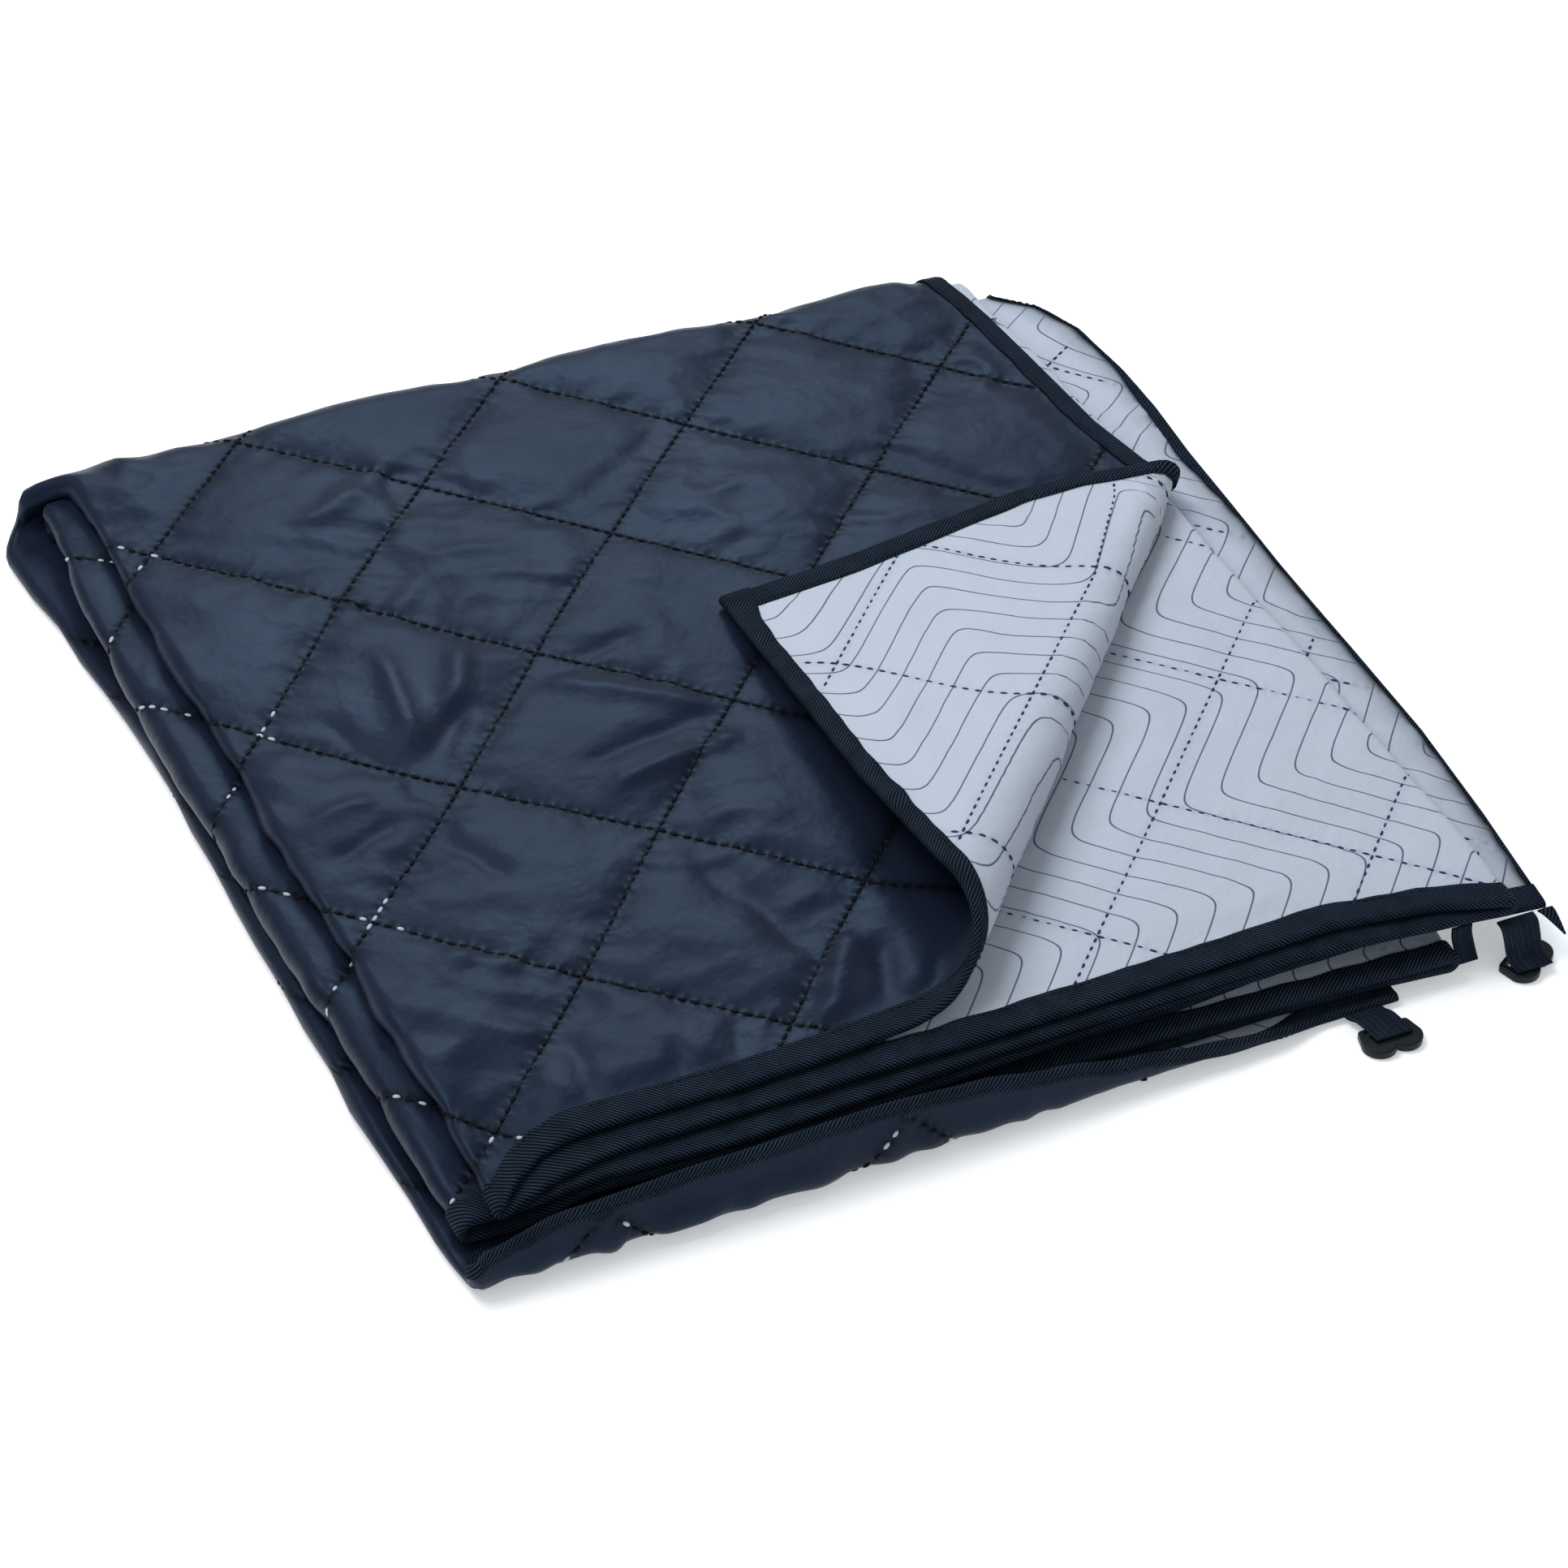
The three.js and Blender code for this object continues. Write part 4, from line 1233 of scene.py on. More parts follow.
@dataclass(frozen=True)
class RibbedCloth:
    """Black woven tape or ribbed elastic, with slanted or lengthwise ribs whose crests carry a painted
    highlight, uneven over the tape.
    """

    name: str
    base: Colour = (0.0016, 0.0028, 0.0056)
    # ridge: the colour of the painted highlight on the ribs' crests
    ridge: Colour = (0.029, 0.048, 0.080)
    roughness: float = 0.78
    slant: float = 1.0
    rib: float = 2.1
    relief: float = 0.2
    ridge_span: Span = (0.25, 0.85)
    ridge_least: float = 0.2
    unevenness_scale: float = 90.0
    uneven_highlight: float = 0.9
    worn_roughness: float = 0.2
    worn_height: float = 0.25
    specular: float = 0.06

    def material(self, groups: ShaderGroups) -> Material:
        """Builds the material.

        Args:
            groups: the shared node groups.

        Returns:
            The material.
        """
        material, bench, shader = start_material(self.name)
        flat = bench.flat_map()
        ribs = bench.group(groups.ribs, Map=flat, Slant=self.slant, Rib=self.rib)
        unevenness = bench.noise(flat, self.unevenness_scale)
        # how much painted highlight the crests carry, uneven over the tape
        lighter = bench.total(self.ridge_least, (unevenness, self.uneven_highlight))
        share = bench.math("MULTIPLY", bench.ramp(ribs["Shade"], *self.ridge_span), lighter)
        even = self.roughness - self.worn_roughness / 2
        height = bench.total(0.0, (ribs["Height"], self.relief), (unevenness, self.worn_height))
        bench.fill(shader, {
            "Base Color": bench.mix(share, self.base, self.ridge), "Normal": bench.bump(height),
            "Roughness": bench.total(even, (unevenness, self.worn_roughness)), "Specular IOR Level": self.specular,
        })
        return material


@dataclass(frozen=True)
class Thread:
    """Sewing thread; stitches that carry a pale value show the pale colour: a painted glint of light on the
    thread, and white wadding showing where the cloth is stretched.
    """

    name: str
    base: Colour
    # pale: the colour of the painted glints on the thread, which also stands for white wadding showing
    pale: Colour = (0.46, 0.49, 0.57)
    roughness: float = 0.6
    lint_scale: float = 1800.0
    lint_roughness: float = 0.2
    lint_height: float = 0.08
    specular: float = 0.08

    def material(self) -> Material:
        """Builds the material.

        Returns:
            The material.
        """
        material, bench, shader = start_material(self.name)
        value = bench.node("ShaderNodeAttribute", attribute_name=PALE).outputs["Fac"]
        lint = bench.grain(self.lint_scale)
        even = self.roughness - self.lint_roughness / 2
        bench.fill(shader, {
            "Base Color": bench.mix(value, self.base, self.pale),
            "Roughness": bench.total(even, (lint, self.lint_roughness)),
            "Normal": bench.bump(bench.total(0.0, (lint, self.lint_height))),
            "Specular IOR Level": self.specular,
        })
        return material


@dataclass(frozen=True)
class MouldedPlastic:
    """Black moulded plastic with a fine grain."""

    name: str = "moulded_black"
    base: Colour = (0.0030, 0.0042, 0.0060)
    lighter: Colour = (0.0075, 0.010, 0.014)
    roughness: float = 0.24
    grain_scale: float = 1500.0
    grain_height: float = 0.05
    smear_scale: float = 140.0
    smear_roughness: float = 0.25
    specular: float = 0.2

    def material(self) -> Material:
        """Builds the material.

        Returns:
            The material.
        """
        material, bench, shader = start_material(self.name)
        grain, smear = bench.grain(self.grain_scale), bench.grain(self.smear_scale)
        bench.fill(shader, {
            "Base Color": bench.mix(smear, self.base, self.lighter),
            "Roughness": bench.total(self.roughness, (smear, self.smear_roughness)),
            "Normal": bench.bump(bench.total(0.0, (grain, self.grain_height))),
            "Specular IOR Level": self.specular,
        })
        return material


class Finishes:
    """Every material of the carpet."""

    def __init__(self, quilting: Quilting) -> None:
        """Builds the shared groups and the materials.

        Args:
            quilting: the cloth's seams.
        """
        groups = ShaderGroups(quilting)
        elastic = RibbedCloth("ribbed_elastic", slant=0.0, rib=1.0, relief=0.06, roughness=0.66)
        self.shell = ShellCloth().material(groups)
        self.lining = LiningCloth().material(groups)
        self.tape = RibbedCloth("twill_tape").material(groups)
        self.elastic = elastic.material(groups)
        self.plastic = MouldedPlastic().material()
        self.shell_thread = Thread("navy_thread", (0.0045, 0.0055, 0.0095)).material()
        self.lining_thread = Thread("blue_thread", (0.016, 0.040, 0.115)).material()
        self.tape_thread = Thread("black_thread", (0.010, 0.011, 0.014)).material()


def into_scene(name: str, data: bpy.types.ID) -> Piece:
    """Makes an object and links it into the scene.

    Args:
        name: the object's name.
        data: its mesh, curve, light or camera.

    Returns:
        The object.
    """
    made = bpy.data.objects.new(name, data)
    bpy.context.scene.collection.objects.link(made)
    return made


def plain_mesh(piece: Piece) -> Mesh:
    """Makes a mesh of what an object's curve or modifiers give."""
    ready = piece.evaluated_get(bpy.context.evaluated_depsgraph_get())
    return bpy.data.meshes.new_from_object(ready)


def turn_outward(mesh: Mesh, weld: float = 0.0) -> None:
    """Turns a mesh's faces outward.

    Args:
        mesh: the mesh.
        weld: how close points are, in metres, that are joined first; none are at 0.
    """
    work = bmesh.new()
    work.from_mesh(mesh)
    if weld:
        bmesh.ops.remove_doubles(work, verts=work.verts, dist=weld)
    bmesh.ops.recalc_face_normals(work, faces=work.faces)
    work.to_mesh(mesh)
    work.free()


def declare(piece: Piece, slot: str, node: str = "") -> None:
    """Tells the frame a piece's body and hides the node that it stands for.

    Args:
        piece: the piece.
        slot: the slot of its finish; not used.
        node: the node that it replaces, if it does.
    """
    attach(piece, BODY)
    if node:
        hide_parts(node)


def run_along(points: Array) -> Array:
    """Gives the length along a line of points, 0 at the first."""
    steps = np.linalg.norm(np.diff(points, axis=0), axis=-1)
    return np.concatenate([[0.0], np.cumsum(steps)])


def evenly(counts: tuple[int, ...]) -> Array:
    """Lists places from 0 up, with so many even steps in each whole stretch."""
    stops = [stretch + np.arange(count) / count for stretch, count in enumerate(counts)]
    return np.concatenate([*stops, [float(len(counts))]])


@dataclass
class Draft:
    """Collects the points and faces of one piece, in millimetres, and makes them an object."""

    name: str
    points: list[Array] = field(default_factory=list)
    maps: list[Array] = field(default_factory=list)
    faces: list[tuple[int, ...]] = field(default_factory=list)
    slots: list[int] = field(default_factory=list)
    size: int = 0

    def add(self, points: Array, flat: Array) -> Array:
        """Adds points.

        Args:
            points: the points, with x, y and z in the last axis.
            flat: their flat coordinates in the last axis.

        Returns:
            Their numbers, in the shape that they came in.
        """
        shape = points.shape[:-1]
        count = int(np.prod(shape))
        self.points.append(points.reshape(count, 3))
        self.maps.append(flat.reshape(count, 2))
        numbers = np.arange(self.size, self.size + count).reshape(shape)
        self.size += count
        return numbers

    def quads(self, corners: list[Array], slot: int = 0) -> None:
        """Adds faces of four corners.

        Args:
            corners: four arrays with the numbers of the faces' corners.
            slot: the faces' material slot.
        """
        rows = np.stack([corner.ravel() for corner in corners], axis=-1).tolist()
        self.faces.extend(map(tuple, rows))
        self.slots.extend([slot] * len(rows))

    def grid(self, numbers: Array, slot: int = 0) -> None:
        """Closes a grid of points with faces."""
        self.quads([numbers[:-1, :-1], numbers[1:, :-1], numbers[1:, 1:], numbers[:-1, 1:]], slot)

    def tube(self, points: Array, flat: Array) -> None:
        """Adds a closed tube.

        Args:
            points: the points of each cut, one row of them for each.
            flat: their flat coordinates.
        """
        numbers = self.add(points, flat)
        self.grid(np.concatenate([numbers, numbers[:, :1]], axis=1))
        self.faces.extend([tuple(numbers[0].tolist()), tuple(numbers[-1][::-1].tolist())])
        self.slots.extend([0, 0])

    def stitch_lines(self, fine: Array, coarse: Array) -> None:
        """Joins a line of points to one with half as many steps.

        Args:
            fine: the first line's numbers.
            coarse: the second line's numbers.
        """
        for k in range(len(coarse) - 1):
            a, b, c = (int(n) for n in fine[2 * k: 2 * k + 3])
            d, e = int(coarse[k + 1]), int(coarse[k])
            self.faces.extend([(a, b, e), (b, d, e), (b, c, d)])
            self.slots.extend([0] * 3)

    def make(self, materials: list[Material]) -> Piece:
        """Makes the object, with its faces pointing out and smooth.

        Args:
            materials: its materials by slot.

        Returns:
            The object, in metres, in the scene.
        """
        mesh = bpy.data.meshes.new(self.name)
        mesh.from_pydata((np.concatenate(self.points) * MM).tolist(), [], self.faces)
        for material in materials:
            mesh.materials.append(material)
        mesh.polygons.foreach_set("material_index", self.slots)
        mesh.polygons.foreach_set("use_smooth", [True] * len(self.faces))
        corners = np.empty(len(mesh.loops), dtype=np.int32)
        mesh.loops.foreach_get("vertex_index", corners)
        layer = mesh.uv_layers.new(name=FLAT_MAP)
        layer.data.foreach_set("uv", (np.concatenate(self.maps)[corners] * MM).ravel())
        turn_outward(mesh)
        return into_scene(self.name, mesh)


@dataclass
class QuiltedSheet:
    """The quilted cloth: a navy shell and a pale lining, closed round its rim."""

    plan: FoldPlan
    faces: ClothFaces
    top_columns: int = 172
    later_counts: tuple[int, ...] = (12, 48, 10, 20, 14, 30)
    layer_three: int = 4
    layer_three_power: float = 1.6
    upper_rows: int = 176
    turn_rows: int = 20
    lower_rows: int = 36
    lip_rows: int = 14
    lip_start: float = 2.92
    flat_size: tuple[float, float] = (2.04, 1.09)

    def ways(self) -> Array:
        """Lists the rows over the cloth, an odd number of them.

        Returns:
            Their places on the way over the back.
        """
        counts = (self.upper_rows, self.turn_rows, self.lower_rows, self.lip_rows)
        stops = (0, 1, 2, self.lip_start, 3)
        rows = [np.linspace(*ends, count + 1)[:-1] for *ends, count in zip(stops, stops[1:], counts)]
        return np.concatenate([*rows, [3.0]])

    def later_columns(self) -> Array:
        """Lists the columns after layer 1, closer together at the end of layer 3.

        Returns:
            Their places through the section.
        """
        columns = []
        for layer, count in enumerate(self.later_counts, start=1):
            shares = np.arange(1, count + 1) / count
            if layer == self.layer_three:
                shares = 1 - (1 - shares) ** self.layer_three_power
            columns.append(layer + shares)
        return np.concatenate(columns)

    def points(self, draft: Draft, face: Face, columns: Array, ways: Array) -> Array:
        """Adds the points of one face over columns and rows.

        Args:
            draft: where they go.
            face: which face.
            columns: places through the section.
            ways: places on the way over the back.

        Returns:
            The points' numbers by column and row.
        """
        across, way = np.meshgrid(columns, ways, indexing="ij")
        offset = self.faces.offset(face, across, way) * face.value
        flat = np.stack(self.plan.flat(across, way), axis=-1)
        return draft.add(self.plan.place(across, way, offset), flat)

    def build(self, finishes: Finishes) -> Piece:
        """Makes the sheet's mesh.

        Args:
            finishes: the materials.

        Returns:
            The sheet.
        """
        draft = Draft("quilted_cloth")
        ways, later = self.ways(), self.later_columns()
        top = np.linspace(0, 1, self.top_columns + 1)
        fine = self.points(draft, Face.SHELL, top, ways)
        shell = self.points(draft, Face.SHELL, later, ways[::2])
        lining = self.points(draft, Face.LINING, np.concatenate([top[::2], later]), ways[::2])
        draft.grid(fine)
        draft.stitch_lines(fine[-1], shell[0])
        draft.grid(shell)
        draft.grid(lining, 1)
        draft.stitch_lines(fine[0], lining[0])
        joint = self.top_columns // 2
        for row in (0, -1):
            draft.stitch_lines(fine[:, row], lining[: joint + 1, row])
            edge = np.concatenate([fine[-1:, row], shell[:, row]])
            below = lining[joint:, row]
            draft.quads([edge[:-1], edge[1:], below[1:], below[:-1]])
        draft.quads([shell[-1, :-1], shell[-1, 1:], lining[-1, 1:], lining[-1, :-1]])
        return draft.make([finishes.shell, finishes.lining])

    def dress(self, piece: Piece, trims: list[Piece]) -> None:
        declare(piece, "quilted_cloth", "quilted_sheet")
        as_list(trims)


class Edge(Enum):
    """The four bound edges of the cloth, by their node's name."""

    FRONT_UPPER = "binding_front_upper"
    FRONT_LOWER = "binding_front_lower"
    SIDE_OUTER = "binding_side_outer"
    SIDE_INNER = "binding_side_inner"


@dataclass(frozen=True)
class TapeWidth:
    """A tape's width on one face, in millimetres, with what it gains over spans of its stations."""

    start: float
    gains: tuple[tuple[float, Span], ...] = ()

    def at(self, stations: Array) -> Array:
        """Gives the width at stations."""
        return self.start + sum((gain * ease(stations, span) for gain, span in self.gains), 0.0 * stations)


# on the lining the upper front's tape is wider on layer 2, where layer 1 lies over it
TAPE_WIDTHS = {
    (Edge.FRONT_UPPER, Face.SHELL): TapeWidth(13.0),
    (Edge.FRONT_UPPER, Face.LINING): TapeWidth(
        15.2, ((-6.2, (0, 0.07)), (4, (0.995, 1)), (4, (1.95, 1.95 + 1 / 12)), (-4, (2.4 - 1 / 12, 2.4)))
    ),
    (Edge.FRONT_LOWER, Face.SHELL): TapeWidth(5.5),
    (Edge.FRONT_LOWER, Face.LINING): TapeWidth(11.0),
    (Edge.SIDE_OUTER, Face.SHELL): TapeWidth(9.5),
    (Edge.SIDE_OUTER, Face.LINING): TapeWidth(14.5, ((-3.5, (0.1, 0.4)),)),
    (Edge.SIDE_INNER, Face.SHELL): TapeWidth(10.0),
    (Edge.SIDE_INNER, Face.LINING): TapeWidth(1.4, ((4.2, (0.55, 0.7)), (-4.2, (0.74, 0.9)))),
}


@dataclass
class SeamRun:
    """A line of stitches: points in millimetres, the cloth's outward direction, and how pale."""

    points: Array
    lie: Array
    pale: Array


@dataclass
class Binding:
    """A twill tape folded over one edge of the cloth, in millimetres."""

    plan: FoldPlan
    edge: Edge
    measured: float = 6.5
    outer: float = 2.15
    inner: float = 1.35
    lip: float = 1.05
    butt: float = 13.1
    short_counts: tuple[int, ...] = (130, 12, 125, 12, 60, 12, 70)
    long_counts: tuple[int, ...] = (131, 23, 69)
    # its edges drift to and fro, and its thickness swells
    drift: float = 0.35
    drift_length: float = 21.0
    drift_from: float = 0.6
    swell: float = 0.126
    swell_length: float = 33.0
    first_seed: int = 40
    seed_step: int = 10
    stitch_inset: float = 2.2
    stitch_lift: float = 0.12
    least_inset: float = 0.4

    @property
    def is_short(self) -> bool:
        """Whether the tape runs along one of the cloth's short edges."""
        return self.edge in (Edge.FRONT_UPPER, Edge.FRONT_LOWER)

    def stations(self) -> Array:
        """Lists places along the edge: across on a short edge, way on a long one."""
        return evenly(self.short_counts if self.is_short else self.long_counts)

    def spots(self, stations: Array, inward: Array) -> tuple[Array, Array]:
        """Finds the places on the cloth at distances inwards from the edge.

        Args:
            stations: places along the edge, as a column.
            inward: distances from the edge, as a row.

        Returns:
            across and way of every pair.
        """
        along, inset = np.broadcast_arrays(stations, inward)
        plan = self.plan
        if self.is_short:
            lower = self.edge is Edge.FRONT_LOWER
            share = inset / plan.depth(np.clip(along, 0, 7), lower)
            way = 3 - share if lower else share
            fold = plan.state(way)
            past = np.where(along <= 0, -self.lip / fold["top_run"], 0.0)
            past = np.where(along >= 7, self.lip / fold["inner_run"], past)
            return along + past, way
        fold = plan.state(along)
        outer = self.edge is Edge.SIDE_OUTER
        across = inset / fold["top_run"] if outer else 7 - inset / fold["inner_run"]
        upper, lower = (self.butt / plan.depth(np.clip(across, 0, 7), low) for low in (False, True))
        way = np.where(along <= 1, blend(upper, 1.0, np.clip(along, 0, 1)), along)
        way = np.where(along >= 2, blend(2.0, 3.0 - lower, np.clip(along - 2, 0, 1)), way)
        return across, way

    def width(self, face: Face, stations: Array) -> Array:
        """Gives the tape's width on one face of the cloth."""
        return TAPE_WIDTHS[self.edge, face].at(stations)

    def cut(self) -> Array:
        """Lists the tape's cut all the way round.

        Returns:
            Shares of its width inwards, or distances past the cloth's edge where negative, and offsets from
            the cloth's middle.
        """
        outer, inner, lip = self.outer, self.inner, self.lip
        side = [
            (1.0, outer - 0.35), (0.97, outer), (0.75, outer + 0.1), (0.5, outer + 0.05),
            (0.25, outer + 0.08), (0.09, outer), (-0.2, outer * 0.86), (-lip * 0.85, outer * 0.5),
        ]
        under = [(-0.25, -inner * 0.5), (0.08, -inner), (0.5, -inner), (1.0, -inner)]
        outside = side + [(-lip, 0.0)] + [(a, -b) for a, b in side[::-1]]
        inside = under[::-1] + [(a, -b) for a, b in under]
        return np.array(outside + inside)

    def build(self, finishes: Finishes) -> Piece:
        """Makes the tape's mesh.

        Args:
            finishes: the materials.

        Returns:
            The tape.
        """
        stations = self.stations()
        shares, offsets = self.cut().T
        spots = self.spots(stations, np.full_like(stations, self.measured))
        along = run_along(self.plan.place(*spots, 0.0))
        seed = self.first_seed + list(Edge).index(self.edge)
        drift = self.drift * waves(along, 0.0 * along, self.drift_length, seed)
        swell = self.swell * waves(along, 0.0 * along, self.swell_length, seed + self.seed_step)
        shell, lining = (self.width(face, stations)[:, None] for face in Face)
        inward = np.where(shares < 0, shares, shares * np.where(offsets > 0, shell, lining))
        inward = inward + drift[:, None] * (shares > self.drift_from)
        offset = offsets * (1 + swell[:, None] * (np.abs(offsets) > self.inner + 0.1))
        points = self.plan.place(*self.spots(stations[:, None], inward), offset)
        steps = np.hypot(np.diff(inward, axis=1), np.diff(offset, axis=1))
        round_cut = np.concatenate([np.zeros_like(steps[:, :1]), np.cumsum(steps, axis=1)], axis=1)
        draft = Draft("edge_" + self.edge.value)
        draft.tube(points, np.stack(np.broadcast_arrays(along[:, None], round_cut), axis=-1))
        return draft.make([finishes.tape])

    def seam(self, face: Face) -> SeamRun:
        """Gives the row of stitches that holds the tape on one face of the cloth.

        Args:
            face: which face.

        Returns:
            The row.
        """
        stations = self.stations()[1:-1]
        inset = np.maximum(self.width(face, stations) - self.stitch_inset, self.least_inset)
        across, way = self.spots(stations, inset)
        points = self.plan.place(across, way, (self.outer + self.stitch_lift) * face.value)
        return SeamRun(points, self.plan.lie(across, way) * face.value, np.zeros_like(way))

    def dress(self, piece: Piece) -> None:
        declare(piece, "binding_tape", self.edge.value)


# between which places across and on the way each face shows, besides the top and the turned back corner
WINDOWS = {
    Face.SHELL: (
        ((1, 1.75), (-1, 1.6)), ((4.72, 6.1), (-1, 1.7)), ((0.8, 1.9), (1.4, 4)), ((-1, 1), (2.9, 4)),
    ),
    Face.LINING: (((2.35, 3.8), (-1, 1.3)), ((6.7, 8), (-1, 1.5))),
}


@dataclass
class SeamFinder:
    """Finds where the quilting seams lie on the parts of the cloth that can be seen."""

    plan: FoldPlan
    faces: ClothFaces
    column_counts: tuple[int, ...] = (170, 30, 60, 30, 60, 40, 60)
    row_step: float = 1 / 530
    turn_rows: int = 60
    shortest: int = 4
    rim: float = 13.5
    lift: float = 0.12
    # the top's last row, and the part of it that the turned back corner covers
    top_way: float = 1.5
    covered_u: float = -2.0
    covered_v: float = 52.0
    # where the cloth is stretched, so that stitches may show pale: painted glints of light on the thread,
    # and white wadding showing through
    stretched_u: float = -214.0
    stretched_across: Span = (4.8, 5.6)
    stretched_way: float = 2.9

    def shows(self, face: Face, across: Array, way: Array) -> Array:
        """Says which places on a face can be seen and are clear of the binding.

        Args:
            face: which face.
            across: places through the section.
            way: places on the way over the back.

        Returns:
            Whether each place shows.
        """
        seen = self.plan.turned_back(across, way)
        if face is Face.SHELL:
            u, v = self.plan.flat(across, way)
            covered = (u > self.covered_u) & (v < self.covered_v)
            seen = (across < 1) & (way < self.top_way) & ~seen & ~covered
        for (left, right), (first, last) in WINDOWS[face]:
            seen = seen | ((across > left) & (across < right) & (way > first) & (way < last))
        return seen & (self.plan.to_edge(across, way) > self.rim)

    def pale(self, face: Face, across: Array, way: Array) -> Array:
        """Says where stitches may show pale, with painted glints of light on the thread and white wadding
        showing, as the shell is stretched over the left folds and the margin.

        Args:
            face: which face.
            across: places through the section.
            way: places on the way over the back.

        Returns:
            1 there and 0 elsewhere.
        """
        u, _ = self.plan.flat(across, way)
        low, high = self.stretched_across
        stretched = ((across < 1) & (u < self.stretched_u)) | ((across > low) & (across < high))
        stretched = (stretched | (way > self.stretched_way)) & (face is Face.SHELL)
        return stretched.astype(float)

    def runs(self, face: Face) -> Iterator[SeamRun]:
        """Follows every seam over one face.

        Args:
            face: which face.

        Yields:
            Each unbroken run of a seam that shows.
        """
        columns = evenly(self.column_counts)
        ways = np.concatenate([
            np.arange(0, 1, self.row_step), np.linspace(1, 2, self.turn_rows)[:-1],
            np.arange(2, 3, self.row_step),
        ])
        across, way = np.meshgrid(columns, ways, indexing="ij")
        for count in self.faces.quilting.counts(*self.plan.flat(across, way)):
            for level in range(math.ceil(count.min()), math.floor(count.max()) + 1):
                rows = np.flatnonzero((count.min(axis=0) < level) & (count.max(axis=0) > level))
                if len(rows) < self.shortest:
                    continue
                at = np.array([np.interp(-level, -count[:, j], columns) for j in rows])
                yield from self.split(face, at, ways[rows], rows)

    def split(self, face: Face, across: Array, way: Array, rows: Array) -> Iterator[SeamRun]:
        """Cuts a seam into the runs that show.

        Args:
            face: which face.
            across: places of the seam through the section.
            way: its places on the way over the back.
            rows: the rows' numbers.

        Yields:
            Each run that isn't too short.
        """
        seen = self.shows(face, across, way)
        breaks = np.flatnonzero((np.diff(rows) > 1) | (np.diff(seen.astype(int)) != 0)) + 1
        for piece in np.split(np.arange(len(rows)), breaks):
            if len(piece) < self.shortest or not seen[piece[0]]:
                continue
            spots = across[piece], way[piece]
            offset = (self.faces.offset(face, *spots) + self.lift) * face.value
            points = self.plan.place(*spots, offset)
            yield SeamRun(points, self.plan.lie(*spots) * face.value, self.pale(face, *spots))


